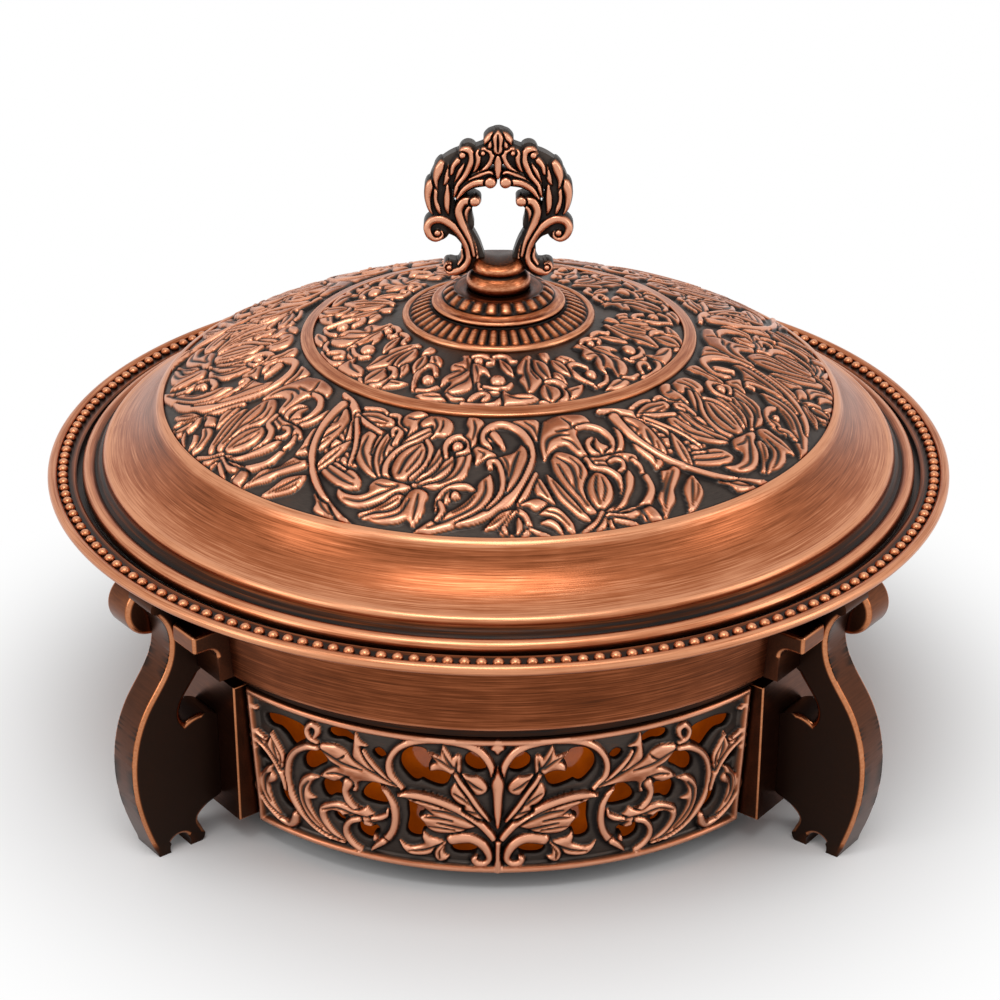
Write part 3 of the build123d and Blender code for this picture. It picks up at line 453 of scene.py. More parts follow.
def finishField(field, tall, ground=0.0, seed=3):
    # smooths the carving a little, and works out where it is rubbed bright or painted with highlight, and where it
    # stays dark with patina and painted shade
    rules = wearAndPaintedLightRules
    height = softened(field["height"], 1)
    wide = softened(height, max(2, int(rules["bulgeReach"] / field["step"])))
    fine = softened(height, max(1, int(rules["edgeReach"] / field["step"])))
    near = softened(height, max(2, int(rules["nearReach"] / field["step"]))) / rules["nearHeight"]
    # crests and fine edges brighten: rubbing and painted highlight
    form = (rules["base"] + rules["height"] * np.clip(height / tall, 0, 1) + rules["bulge"] * (height - wide) / tall
            + rules["edge"] * (height - fine) / tall)
    # the ground darkens beside the forms: patina and painted shade in the crevices
    plate = rules["ground"] - rules["groundNear"] * np.clip(near, 0, 1)
    share = np.clip((height - rules["formFrom"]) / rules["formOver"], 0, 1)
    field["wearAndPaintedLight"] = form * share + plate * (1 - share)
    grit = np.random.default_rng(seed).normal(0, 1, height.shape)
    field["height"] = height + ground * softened(grit, 1) * (height < rules["gritBelow"])


# Lid: turned shell, with the carved bands and the plain ring lying on it

lid = {"body": "lid", "nodes": ["lid_shell"], "slot": "antique_copper", "steps": 360,
       "bandInner": 86.6, "bandOuter": 147.4, "bandUnits": 5, "bandSteps": 1100, "bandSpacing": 0.62, "bandGrow": 0.5,
       "innerInner": 40.5, "innerOuter": 81.4, "innerUnits": 6, "innerSteps": 760, "innerSpacing": 0.55,
       "innerGrow": 0.45, "fieldStep": 0.25, "carvedHeight": 2.4, "grit": 0.05, "sink": 1.3, "edgeRun": 1.2}

# the third values paint highlight on the lip, the shoulder and the outer bead, and shade in the grooves between them,
# on top of the rubbing
lidProfile = (
    domeRun(4.4, 146.6, -1.0, 40, 0.15)
    + [(147.2, domeHeight(147.2, -0.4), 0.3), (147.5, domeHeight(147.5, 0.5), 0.75)]
    + bend((147.9, domeHeight(147.9, 0.95)), (149.6, domeHeight(149.2, 1.05)), (151.4, 163.9), 5, (0.95, 1.0, 0.85))
    + bend((152.6, 161.9), (160.1, 152.7), (171.6, 146.0), 14, (0.62, 0.7, 0.86))
    + arc(172.6, 142.9, 2.9, 95, -15, 7, (0.95, 1.0, 0.5))
    + [(176.4, 140.6, 0.1), (177.6, 140.2, 0.3), (178.2, 139.2, 0.05), (179.0, 138.7, 0.05)]
    + bend((179.4, 138.9), (182.2, 139.7), (184.8, 136.4), 9, (0.45, 1.0, 0.7))
    + [(184.8, 134.6, 0.2), (183.3, 134.6, 0.2), (183.2, 136.2, 0.3), (181.9, 138.0, 0.3), (178.4, 137.1, 0.3),
       (176.3, 139.2, 0.3), (174.0, 141.2, 0.35), (171.2, 144.0, 0.35)]
    + bend((170.2, 144.6), (159.0, 151.2), (150.2, 161.2), 10, 0.4)
    + domeRun(148.0, 4.4, -2.6, 24, 0.4)
)
turnPiece("lid_dome", lid, lidProfile, turnedCopper)
print("lid shell turned")

leafBand = """
shape -70.5,82,1 -70,77 -67.5,72 -62,70 -60.5,73 -57.5,75 -61.5,77 -61.8,80,1 -64,79.2 -66.5,81.5,1 -68.5,80.4
shape -68.8,86,1 -69.2,92 -67.5,96 -62.5,98.6 -59.6,97 -61,93.5 -65.5,90
shape -66.8,81,1 -67.2,86 -64.8,90.4 -62.5,93 -60,95,1 -59.4,91 -60.4,86.5 -61.6,80,1 -64,80
cut -64.6,82.5,0.3 -63.4,87.5,0.6 -61.4,92.4,0.3
shape -69,96.4,1 -63.5,98.4 -59.6,101 -56.4,105 -54.6,109,1 -58.5,107.9 -61,107.7 -64.7,104 -67.5,100.5
cut -66.5,98.6,0.3 -62,101.8,0.6 -57.5,106.6,0.3
shape -70,98.4,1 -73.2,101.3 -71.8,106.5 -68,112.2 -63.5,116.9 -59.5,119.4 -55.6,119.8,1 -55,116 -57,111.6 -60.5,108.7
  -65,105.3 -68,102
cut -71,102.4,0.3 -67.8,108,0.6 -62.5,114,0.6 -57.6,118,0.3
cut -66.6,104.6,0.2 -62,110,0.4 -57.4,115,0.3
rod -71.8,87,0.5 -70.2,96,0.9 -66.5,103.2,0.8 -61.2,109.2,0.4
shape -58.4,78.2,1 -52,79 -47.5,80.6 -44.3,83.2 -42,86.4 -42.8,89.2,1 -47,88 -52,87.4 -54.4,84.5 -57,81.5
cut -56,79.8,0.3 -50,82.5,0.6 -44.6,86.6,0.3
cut -53,84,0.3 -49,86,0.5 -45.4,87.6,0.3
rod -55,75.5,0.8 -51,76.6,1.0 -47,78.6,1.0 -44.4,82,0.6
shape -49.5,89.6,1 -53.5,90.8 -56.9,94.8 -58.2,100 -56.7,106 -53.3,111.7 -47.8,116.8,1 -48.9,110 -50,103 -50.4,97
  -49.3,93
cut -52.5,93.5,0.3 -54.6,100,0.7 -53,107,0.6 -50,113,0.3
rod -50.2,103,0.5 -48.6,98,1.0 -46.9,94.5,1.2 -47.2,91.4,1.2 -49.7,90,0.9
shape -43.5,91.6,1 -46.7,96 -49,101.5 -49.8,108 -48.3,114 -45.8,117.6,1 -43.6,113 -44.9,107 -45.2,103 -43.4,98
  -42.2,94.5
cut -44.6,95.5,0.3 -47,102.5,0.6 -47.6,109,0.5 -46.3,114.6,0.3
rod -44.7,108.4,0.4 -44.2,103.5,1.1 -42.4,98.5,1.3 -41.3,95,1.1
rod -42.3,95,0.8 -42.4,92,1.0 -40.6,90.9,1.1 -39.3,93,1.2 -40.4,96.4,1.1 -42,99.6,0.7
rod -43.8,82.3,0.6 -41.5,82.8,1.0 -39.6,84.8,1.2 -39.4,88,1.2 -38,90.4,1.0 -36,92.8,1.1 -36.3,96.2,0.9 -38.2,98.6,0.6
shape -38.8,87.7,1 -37.9,84.4 -34,82.2 -30,83 -27.6,86,1 -30.8,88.5 -33,92 -36.8,96.8,1 -35.6,92 -37.6,90
cut -36,86,0.4 -33.4,87,0.7 -30.6,86.2,0.4
shape -27.4,85.8,1 -22,87 -18.6,90 -18.4,94.4 -20.8,98 -25,97.4 -28.4,100,1 -27.3,95 -29.3,92.4 -31.5,90 -30,87.4
cut -25.5,88,0.4 -24.6,92.5,0.6 -27,97.4,0.3
cut -22,89.5,0.2 -22.2,93,0.4 -23.4,96,0.2
shape -27,92.3,1 -31,93.8 -35,96.3 -38.8,99.8,1 -34,100.2 -30,98.7 -27.2,96
shape -29.3,100.2,1 -33.5,101.3 -38.2,103.8 -41.3,108.3 -42.6,113 -41.4,117.5 -39.6,120.4,1 -35.3,118 -31.2,114.8
  -28.6,110.7 -27.8,105.4
cut -31,102.6,0.3 -36.3,108.3,0.9 -39.4,115.5,0.6
cut -30,105,0.2 -32.6,110,0.5 -36.4,115.4,0.3
rod -28.5,99.6,1.0 -26.9,104.5,1.2 -27.4,110,1.4 -30,114.7,1.3 -34.5,118.6,0.7
shape -19.8,100.6,1 -23.5,104.4 -25.9,110 -28.4,115 -32.6,119.8,1 -27,118 -23,113.5 -20.3,107.5
cut -21.6,104.4,0.3 -24.2,111,0.6 -28.8,116.8,0.3
shape -13.8,108.6,1 -18,108.8 -21.4,111.8 -23.8,116 -27.8,119.5 -33.5,122,1 -27,121.6 -22,120 -17.6,115.6 -16.7,111.5
cut -16.6,110,0.3 -20.4,114.4,0.7 -26,119.6,0.4
shape -16.8,108.3,1 -13,106.6 -10.3,105.6,1 -10.4,110 -11.8,115 -12.8,118.8 -15.8,122 -20,123.9 -25,124.7 -30,123,1
  -22,121.2 -18,117.2 -16.5,112.5
cut -12.4,108.4,0.3 -14,114.5,0.7 -17.4,119.8,0.6 -23.4,122.8,0.3
rod -27,96,0.5 -32,99.2,0.9 -37,101.4,1.1 -41.8,105.1,1.2 -44.8,110.5,1.3 -44.8,115.4,1.2 -42.3,119.9,1.0
  -38,122.4,0.9 -33,122.2,0.8
rod -20.6,109.5,0.8 -21,104,1.1 -19.1,100.4,1.4 -15.5,98.8,1.5 -11.9,100.4,1.5 -10.9,104,1.4 -12.5,107,1.2
  -16,108.3,0.9
ball -16,104.2,2.3
shape -11.8,88,1 -8,88.6 -5.6,91.3 -7.2,96 -8.3,101 -10.2,105.4,1 -11,101 -13,98.6,1 -11.7,95 -12.6,91.5
cut -9.6,90.4,0.3 -9,95,0.6 -10,101,0.3
shape -63.9,117.9,1 -60.5,121.2 -56,123.1 -51.5,122.4 -51,119 -46.6,116.8 -40.4,119.6 -36,121.6 -33.8,124.2,1
  -38.5,124.9 -43,127 -48,128.6 -54,129 -60,126.3 -64,121.6
cut -61.5,123.4,0.3 -54.6,126.2,0.7 -47,124.4,0.7 -39.6,122.2,0.4
cut -48.6,119.4,0.3 -44.6,121.4,0.5 -39.6,121.4,0.3
shape -36.6,126.6,1 -40.5,125.8 -45,128.9 -50,130.9 -55.2,131.8 -53,133.7 -48,133 -42.6,131.6 -38.2,129.4
cut -39,127.6,0.3 -44.6,130.4,0.6 -51.4,132.4,0.3
shape -53.8,134,1 -49,133.1 -43,133.2 -39,131.6 -36.8,127.8,1 -34.6,124.8 -31,124.2 -28,127 -29,131 -29.8,135.2
  -33.4,140.8,1 -36,137.6 -40,138.4 -46,137.5
cut -51.5,135,0.3 -45,135.6,0.6 -38.6,134.4,0.6 -35,129,0.4
cut -31.4,127,0.3 -32.3,132.6,0.6 -33.4,138.4,0.3
shape -33,143.4,1 -27,139.6 -21,136.8 -15.5,134.2 -11,130.3 -8.6,126 -7,122.5 -2.8,118.8,1 -1.9,123 -2,128 -3.7,132.7
  -6.4,136.4 -10,140.6 -16,142.6 -24,144.2 -29,145.2
cut -4.8,122.4,0.3 -5.2,128.2,0.7 -9.4,134.4,0.8 -18,139,0.8 -27.4,142.4,0.4
cut -9,129.6,0.2 -12.4,133.6,0.5 -17.6,136.6,0.3
rod -3.4,105.4,1.0 -5.3,101.5,1.8 -4.9,97,1.9 -2.5,93.6,1.8 1.5,92.2,1.8 6,93.7,1.8 9.9,97.4,1.9 12.5,102.5,1.9
  13.5,108,1.8 12.7,114,1.7 10.9,120,1.8 7.9,126,2.0 3.4,131.8,2.2 -2.5,136.5,2.1 -9.5,140.2,1.6 -16,142,0.6
ball -1.6,99.6,2.7
rod -1.5,98.5,1.8 0.5,101.7,1.5 2.4,105.4,0.6
shape 9.4,103.4,1 7.2,107.3 3.5,109.3 -1,110.8 -6,111.2,1 -1.5,112.5 0.6,115 1.9,119.5 2,125 1,129.6,1 4.6,127
  8.1,121.5 10.5,115.5 12,110.5 11.6,106
cut 8.6,107.6,0.3 6.6,113.5,0.8 5.2,119.5,0.7 3,126,0.3
cut 2.4,110.8,0.3 4,114.5,0.6 3.8,119,0.3
rod -2.9,115.4,1.0 -3.3,112.9,1.2 -0.9,112.4,1.2 0.9,115.5,1.1 2,121,1.1 1.8,126,1.0 -0.2,130.7,0.9 -4.4,135.4,0.5
shape -8,104.2,1 -4.4,106.2 -0.8,109.2 -5,111 -8.6,113.4,1 -9,109 -9.9,106
cut -7.6,107,0.3 -5.4,109,0.5 -7,111.4,0.3
rod -24.2,134.8,0.6 -23.4,130,1.2 -20.6,126.1,1.4 -16.5,124.4,1.5 -12.3,124.6,1.4 -9.8,126.4,0.9
petal -21,132,0.6 -19.7,129,1.4 -18.6,127,0.7
ball -16.8,128.6,1.7
rod -22.8,131.6,0.9 -21.8,135.4,1.2 -24,139,0.9
shape 6,90.4,1 11,89.4 15.8,89.4 17.4,93 16.7,98 17.2,103.4,1 14.4,99 11.5,94.5
cut 11,91,0.4 14.4,94,0.7 16,99,0.3
shape 14.6,118.4,1 17,120.8 19.6,125.4 22.6,132,1 18.4,130.2 15.4,128 13.8,123
cut 15.6,121,0.3 17.2,125,0.5 20,129.6,0.3
rod 15.3,118.3,0.8 12.5,125,1.1 9.7,131,1.2 8.1,135.7,1.1
shape 9.2,133.2,1 13,130.8 16,130.2 19.4,131.8,1 17.8,134.6 14.6,135.4 12.3,133.7
rod 7.8,135.8,1.0 10.5,138,1.3 12,142,1.4 11,146,1.2 7.8,147.6,1.1 3,146.6,1.0 0.6,143.3,0.7
rod 6.8,136.3,0.7 4,139,1.0 2.2,142.8,1.1 3.5,145.8,0.8
petal 8.3,139.6,0.6 8.7,143.2,1.5 7.8,146.2,0.7
shape 5.8,135.6,1 1.5,137.1 -1.4,139.8 -5,144.4,1 -1,143.6 1.7,141.6
cut 3.4,137.6,0.3 0,140.6,0.5 -3,143.2,0.3
shape 16.9,136.8,1 20,133.8 23.6,133.9 27.2,137.2 29.9,141 30.4,145.4,1 27.8,143.4 25,140 21.5,138.4
cut 19.4,135.8,0.3 24,136.8,0.6 28.6,141.6,0.3
shape 17.2,140.8,1 20.5,139 24,141 26,145.6,1 22,142.6
rod 12.6,143.6,0.4 16.6,145.4,0.8 20.6,146.2,0.4
shape 19.6,118,1 20.4,123 23.8,129 28.9,134.2 33,137.6 37,138.6,1 34.2,133.7 29.6,129 25,123.5
cut 21.6,121.4,0.3 26.4,128.6,0.6 33,135.4,0.3
shape 21.3,111,1 22.7,117 26.4,123.5 30.9,129 35.4,134.6 39.2,134.2,1 36.3,129.5 34.7,124.5 35.7,119.5 35.7,114.5
  32.8,109.5 28.5,107 23.5,106.7
cut 23.6,109.6,0.3 28.6,113,0.8 30.8,118.5,0.8 31.5,124.5,0.7 35.6,131.8,0.4
cut 24,113,0.3 27.4,120,0.5 32,127,0.3
cut 29,109.4,0.2 32.8,113.4,0.5 33,119.4,0.3
shape 18.3,90.3,1 23.5,86.6 29,84.8 34.6,84.4 37.5,87.6 36.8,90.3 33.2,92.2 31.8,95.5 33.3,100 36.3,106.9,1 33,107.4
  30,104.7 27.5,102.4 24,103.2 20.7,107 18.8,111,1 17.1,104 17.4,97
cut 23.6,95.7,0.4 26,94.8,0.7 28.6,93.9,0.4
cut 19.4,108,0.3 20.2,101,0.9 24.4,97.4,0.9 28.6,97.2,0.3
cut 26,87.6,0.3 29.4,90.6,0.6 29.8,93.6,0.3
cut 26,99.6,0.2 29.4,100.4,0.5 32.8,104.6,0.3
rod 32,92,0.6 37,90.4,1.4 42.2,91.8,1.6 45.8,96,1.5 46.6,100,1.4 44,104.2,1.4 40.3,105.9,1.3 37,103,1.2 36.5,99.4,1.1
  39,97.1,1.0
shape 39.8,96.4,1 41.4,99.1 45,100.6,1 42.8,103.4 42.8,105.6,1 39.2,101
rod 47.3,86.8,0.6 49.1,92,1.3 49.9,98,1.4 48.6,103.6,0.8
shape 44,82.6,1 50,82 56,81.8 61.2,85.6 65.5,91.3 68.4,97.5 67.4,103 64.3,108.3,1 61.8,104.9 58.3,101.8 55.2,98
  54.9,93 57,89.2,1 55,92,1 51.2,88.8 47.6,85.8
cut 60.6,88,0.4 61.8,92,0.9 63.2,96,0.4
cut 58,91,0.3 59.3,97,0.9 63,101,0.7 64,105.6,0.3
cut 47,83.4,0.3 53,85.6,0.7 57,88.4,0.3
cut 64.6,93.6,0.2 65.8,99,0.5 65,103.4,0.3
rod 41.4,80.9,1.0 48,79.7,1.8 54,79.6,1.9 60,81.2,1.5 66,84.3,1.1 72,88,0.9 78,93.4,0.6
rod 58,79.6,1.2 66,76.8,1.1 73,73.6,0.9
rod 60,80.2,1.0 68,82.4,1.1 76,85.4,1.0 83,89.6,0.6
shape 71,85.6,1 75.8,91.6 78.4,98 79.6,105.4,1 76,101.9 72.8,97 71.2,91.5
cut 73.2,90.4,0.3 75.4,95.4,0.6 77.6,101,0.3
shape 35.6,107.6,1 40,107.4 45,105.2 51,102.7 56,103.4 55,106.6 50.5,106 46.5,107 43.5,109.4 46.4,112.6,1 40,112.4
  36.7,110.5
cut 38,109.4,0.3 42.6,108.6,0.6 50,104.6,0.4
shape 38.8,115.1,1 36.1,119.4 35.3,124 36.8,128.8 40,132.4 41.2,133,1 43.6,129.8 45.6,126 45.7,121.4 43.6,117.1
  40.6,114.6
cut 39.4,117,0.3 38.9,123.4,0.6 40.6,130.6,0.3
cut 41.6,117.6,0.2 42.8,123,0.5 41.8,129,0.3
rod 35.5,108.7,0.8 38.5,112.9,1.2 43.6,113,1.5 48.1,115.8,1.6 50.3,120.5,1.7 50.5,125.5,1.6 48.1,130.1,1.4
  43.6,133.6,0.9
shape 52.2,111.1,1 54.4,114.5 54,119.5 52.3,124 50.5,128.3 45.6,133.6,1 49.5,127 51,121 50.9,116
rod 57.6,109.6,0.7 60.4,115,1.4 61.4,119.5,1.7 59.7,124.6,1.7 56.6,129.1,1.4 51,132.1,1.1 45.6,134.4,0.7
rod 45,108.3,0.6 47.5,106.8,1.1 50,107.6,1.1 50.5,110.5,1.0 49,112.3,0.6
rod 54.3,105.6,0.7 57,108,1.0 58.2,111.4,0.7
shape 65.6,108.9,1 69,107.2 71,104.1 73.6,106.3 72.2,112 70.6,117 70.9,121.5 68.5,126.6 66.8,131.6,1 65.3,126 63.9,122
  66.2,116
cut 70.6,107.6,0.3 68.4,115,0.8 66.9,122,0.7 67,128.6,0.3
cut 68.4,109.4,0.2 66.9,114.4,0.5 65.8,119.4,0.3
shape 78.5,106.7,1 75.8,111.5 74.5,116 76,122 76.5,127.4,1 79.2,123 81.4,118 82.6,113.5 80.8,109
cut 78.4,109.4,0.3 78.2,116,0.7 77.8,123,0.3
cut 80.4,110.6,0.2 80.6,115,0.5 79.2,120.4,0.3
rod 41.3,134,1.1 39.5,138,1.0 35.5,142,0.9 31.2,146,0.5
rod 43.5,135.5,1.1 41.5,139.5,1.0 37.2,144.8,0.5
rod 44,134.6,0.9 50,134.2,1.0 55,131.6,1.0 57,129,0.6
rod 45,136.2,0.7 52,136.5,1.0 58.6,137.2,0.4
rod 57,130,0.9 59,133,1.0 62,135.8,0.4
rod 44.5,137,0.6 45.6,140,0.8 48,142.6,0.4
shape 57.5,129.5,1 60.5,127.4 63.2,128.8 65.4,132.2,1 62,135 59.4,132.5
rod -57,137.4,0.5 -62.3,132,1.0 -67.7,124.2,1.2 -72.1,115,1.3 -74.9,105,1.4 -75.8,97,1.5 -74.5,89,1.6 -71.7,81.5,1.8
  -67.8,75,2.2 -64.5,71,2.4
shape -68,124.6,1 -71.5,121.4 -73.6,117.6,1 -72.4,122.4 -73.4,125.6 -69.4,129.6 -64.6,133.4,1 -66.4,129
cut -71.2,122.6,0.3 -69.6,126,0.5 -66.8,129.8,0.3
"""

bandField = newField(-96, 60, 96, 156, lid["fieldStep"], lid["bandGrow"])
drawDesign(bandField, readStrokes(leafBand), [turned(-72), turned(72), turned(0)])
finishField(bandField, lid["carvedHeight"], lid["grit"])
print("leaf band drawn")


def carveDome(mesh, field, count, innerR, outerR):
    # lifts the points of the band's upper face by the carving
    places = readPoints(mesh)
    centre = np.array([0, 0, dome["centre"]])
    away = places - centre
    reach = np.linalg.norm(away, axis=1)
    upper = reach > dome["radius"] - 0.05
    radii = np.hypot(places[:, 0], places[:, 1])
    turns = np.arctan2(places[:, 0], -places[:, 1])
    unit = 2 * math.pi / count
    turns = (turns + unit / 2) % unit - unit / 2
    x, y = radii * np.sin(turns), radii * np.cos(turns)
    edge = np.clip(np.minimum(radii - innerR, outerR - radii) / lid["edgeRun"], 0, 1)
    lift = readField(field, "height", x, y) * edge
    places[upper] += (away / reach[:, None] * lift[:, None])[upper]
    writePoints(mesh, places)
    # the carving's value dims towards the band's edges, and the band's sides and underside stay dark
    writeWearAndPaintedLight(mesh, np.where(upper, readField(field, "wearAndPaintedLight", x, y) * (0.4 + 0.6 * edge), 0.2))


def carvedBand(name, field, count, innerR, outerR, spacing, steps, turn=360, start=0):
    rows = int((outerR - innerR) / spacing)
    profile = domeRun(innerR, outerR, 0.0, rows, 0.2) + [
        (outerR, domeHeight(outerR, -lid["sink"]), 0.2), (innerR, domeHeight(innerR, -lid["sink"]), 0.2)]
    spec = {"body": "lid", "nodes": ["lid_shell"], "slot": "antique_copper"}
    bm = spinProfile(profile, steps, turn, start)
    return finishPiece(name, bm, spec, carvedCopper, 60,
                       lambda mesh: carveDome(mesh, field, count, innerR, outerR))


for side, start in (("front", -90), ("rear", 90)):
    carvedBand(f"lid_leaf_band_{side}", bandField, lid["bandUnits"], lid["bandInner"], lid["bandOuter"],
               lid["bandSpacing"], lid["bandSteps"] // 2, 180, start)

innerDesign = """
shape -23.6,72,1 -27,70.6 -31,71 -34,71.6,1 -31,74.6 -26,76.4 -21.6,76.2,1
cut -30.6,72.8,0.3 -26.6,73.6,0.6 -23,74,0.3
rod -35,67.6,0.7 -34.6,60,1.3 -32.7,54,1.5 -29.4,51.4,1.5 -26.4,53.6,1.4 -25.8,58,1.0
ball -29,61.6,2.6
rod -33.4,68,0.8 -29,69,1.1 -24.6,67,0.9
shape -28.4,44.4,1 -24.6,45 -23.4,48.6 -24,51.8,1 -27,49.6 -30.6,49.4,1 -29.6,46.8
cut -27,46,0.3 -26,49,0.5
shape -14.8,45.6,1 -14.7,49.6 -19,52 -19.4,55.8 -15.6,57.2,1 -19.8,58.6 -23.1,62 -23.5,66.6,1 -20.4,64 -19.4,66.2
  -21.6,69.8 -22.2,73.2,1 -18,72.4 -13.8,71.2 -10.7,68 -9.4,63 -10.2,58 -10.4,52 -10.8,45.6,1
cut -12.6,48,0.3 -12.4,55,0.9 -15.6,60,0.7 -20,63,0.3
cut -11,59,0.3 -13.2,64.2,0.9 -17,67.2,0.7 -20.8,70.8,0.3
cut -17.6,53.6,0.2 -14.6,54.6,0.5 -12.6,57,0.4
shape -10.2,49.6,1 -7.2,53.2 -4.4,56.4 -3.3,60.8,1 -5.6,58.8 -7.4,59.8 -8,64.4 -9.2,69.2,1 -10,63 -10.6,57
cut -9,54,0.3 -8.2,60.4,0.5 -8.9,66,0.3
rod -10.4,46.8,0.8 -7.6,46,1.3 -4.4,47,1.4 -2.4,48.8,1.2 -2.2,51.4,1.0 -4.2,52,0.8
ball -8,50.2,1.9
rod -1.6,47.2,0.9 1,46.4,1.2 4,47.3,1.3 6,50.4,1.2 8.4,50.6,0.8
shape 0.6,49,1 3.4,51.6 5.8,55.6 6.6,60.6,1 3.6,58.6 1.4,55
cut 2,51.4,0.3 3.6,55,0.5 5.6,58.8,0.3
ball 0,64.4,3.3
rod -7.8,66.6,0.8 -6.8,70.4,1.1 -3.6,72,1.2 0.6,72.2,1.1
rod -5.6,68.6,0.9 -1,70,1.2 3.4,69.4,1.2 5.6,66.8,0.9
rod -14.8,79,0.8 -9,80.6,1.2 -2.4,80.2,1.3 1.4,77,1.2 2.4,73.2,0.9
rod -11.8,77.4,0.8 -9.8,74.8,1.2 -6.4,73,1.3 -4,74.8,1.1 -5.8,77.4,0.9
rod -21,72.8,0.7 -18.4,75.6,1.0 -14.4,76.4,0.8
shape 12,45.6,1 10.2,49 8.4,53.5 8,58 10.2,60.2 9,64 10.9,67.8 13,73.4,1 15.9,69.2 19,64.4,1 16.7,59.6 14.9,55 14.3,50
  13.9,46,1
cut 12,49.6,0.3 11.4,57.6,0.9 12.8,66,0.7 13,71,0.3
cut 13.4,52,0.2 14,58,0.5 16.4,63.4,0.3
shape 14.6,48.6,1 17.8,49.6 20.8,52.8 22,57 23.9,60.6 22.8,65,1 19.4,62.4 16.2,58 14.9,53.4
cut 16.4,51.2,0.3 18.4,56.6,0.9 21.4,62,0.4
shape 23,57.2,1 26.2,58.2 28,61.4 28.8,64.2,1 25.6,63.2 23.4,61.2
cut 24.4,59,0.2 27,62,0.3
shape 17.2,43.4,1 20.8,43 21.8,46.6 20.6,49.4,1 18.2,47
shape 22.2,48.2,1 26.2,49.6 28.9,53.4 30.4,58.6,1 26.2,57 23.1,53
cut 23.6,50,0.3 26.4,53.4,0.6 29,56.8,0.3
shape 19.5,65.2,1 17.7,69.6 18.1,74 20.4,77.8,1 22.6,78 25.8,75.8 26.4,71.6 24.7,68.2 22,67.4
cut 20,67.6,0.3 21.2,72.6,0.8 22,76.8,0.3
rod 20,64.6,0.8 23.4,63.8,1.4 26.6,65.8,1.5 28.4,69.6,1.5 28,74.2,1.3 25,78.2,1.1
rod 21.4,78.9,0.8 17.4,77,1.0 14.8,73.4,0.7
shape 2.2,71.2,1 5.6,74.2 9,73.2 14,73.4 17.2,76.4,1 12,79 7,80.1 3,80.4,1 2.2,76
cut 3.6,74.6,0.3 8.4,76.4,0.7 14.6,76.2,0.3
shape 28.4,68.2,1 32,66.2 35.4,64,1 35,67.4 33.4,71 30.6,74,1 30,71
cut 30.6,69.6,0.3 33.4,67.4,0.5
"""
innerField = newField(-44, 34, 44, 84, lid["fieldStep"], lid["innerGrow"])
drawDesign(innerField, readStrokes(innerDesign), [turned(-60), turned(60), turned(0)])
finishField(innerField, lid["carvedHeight"], lid["grit"])
carvedBand("lid_inner_band", innerField, lid["innerUnits"], lid["innerInner"], lid["innerOuter"], lid["innerSpacing"],
           lid["innerSteps"])

trim = {"body": "lid", "nodes": ["lid_trim_ring"], "slot": "antique_copper", "steps": 360, "middle": 84.0,
        "width": 6.0}
trimProfile = []
# the shoulders are rubbing and painted highlight, and the feet where the ring meets the dome are painted shade
for across, lift, wearAndPaintedLight in ((-0.5, -0.3, 0.1), (-0.49, 0.7, 0.5), (-0.42, 1.25, 0.95), (-0.3, 1.3, 0.85),
                           (-0.1, 1.3, 0.75), (0.1, 1.3, 0.75), (0.3, 1.3, 0.85), (0.42, 1.25, 0.95),
                           (0.49, 0.7, 0.5), (0.5, -0.3, 0.1)):
    r = trim["middle"] + across * trim["width"]
    trimProfile.append((r, domeHeight(r, lift), wearAndPaintedLight))
turnPiece("lid_plain_ring", trim, trimProfile, turnedCopper)
print("lid bands carved")

# Rosette: rolled edge and two rings of flutes

rosette = {"body": "lid", "nodes": ["rosette_plate"], "slot": "antique_copper", "steps": 576, "flutes": 48,
           "fluteInner": 29.6, "fluteOuter": 38.7, "fluteDepth": 1.5}
rosetteProfile = (
    [(20, 198.6, 0.2), (38.5, 198.3, 0.2)]
    + arc(40.3, 200.2, 1.9, -90, 120, 12, (0.35, 0.95, 0.8))
    + [(38.95, 201.3, 0.05), (38.8, 201.2, 0.05)]
    + [(38.5 - 8.9 * i / 12, 201.3 + 4.0 * i / 12, 0.5) for i in range(13)]
    + [(29.3, 205.6, 0.05), (20, 205.5, 0.2)]
)


def fluted(spec, lean):
    # raises tongues between narrow slots; the slots are painted dark as shade and the tongue tops bright as rubbing and
    # painted highlight; lean is how much of the lift goes outwards
    def dress(mesh):
        places = readPoints(mesh)
        radii = np.hypot(places[:, 0], places[:, 1])
        turns = np.arctan2(places[:, 0], -places[:, 1])
        share = (radii - spec["fluteInner"]) / (spec["fluteOuter"] - spec["fluteInner"])
        tongue = np.abs(np.sin(turns * spec["flutes"] / 2)) ** 0.8
        ends = np.sqrt(np.clip(1 - np.abs(2 * share - 1) ** 4, 0, 1))
        on = (share > 0) & (share < 1) & (places[:, 2] > spec["floor"])
        lift = np.where(on, spec["fluteDepth"] * (tongue * ends - 0.35), 0)
        away = places[:, :2] / np.maximum(radii, 1)[:, None]
        places[:, 2] += lift * (1 - lean)
        places[:, :2] += away * (lift * lean)[:, None]
        writePoints(mesh, places)
        wearAndPaintedLight = np.zeros(len(places))
        mesh.attributes["wearAndPaintedLight"].data.foreach_get("value", wearAndPaintedLight)
        writeWearAndPaintedLight(mesh, np.where(on, tongue**2 * ends * 1.1 - 0.1, wearAndPaintedLight))
    return dress


rosette["floor"] = 200.9
turnPiece("rosette_plate_fluted", rosette, rosetteProfile, turnedCopper, fluted(rosette, 0.25), 60)

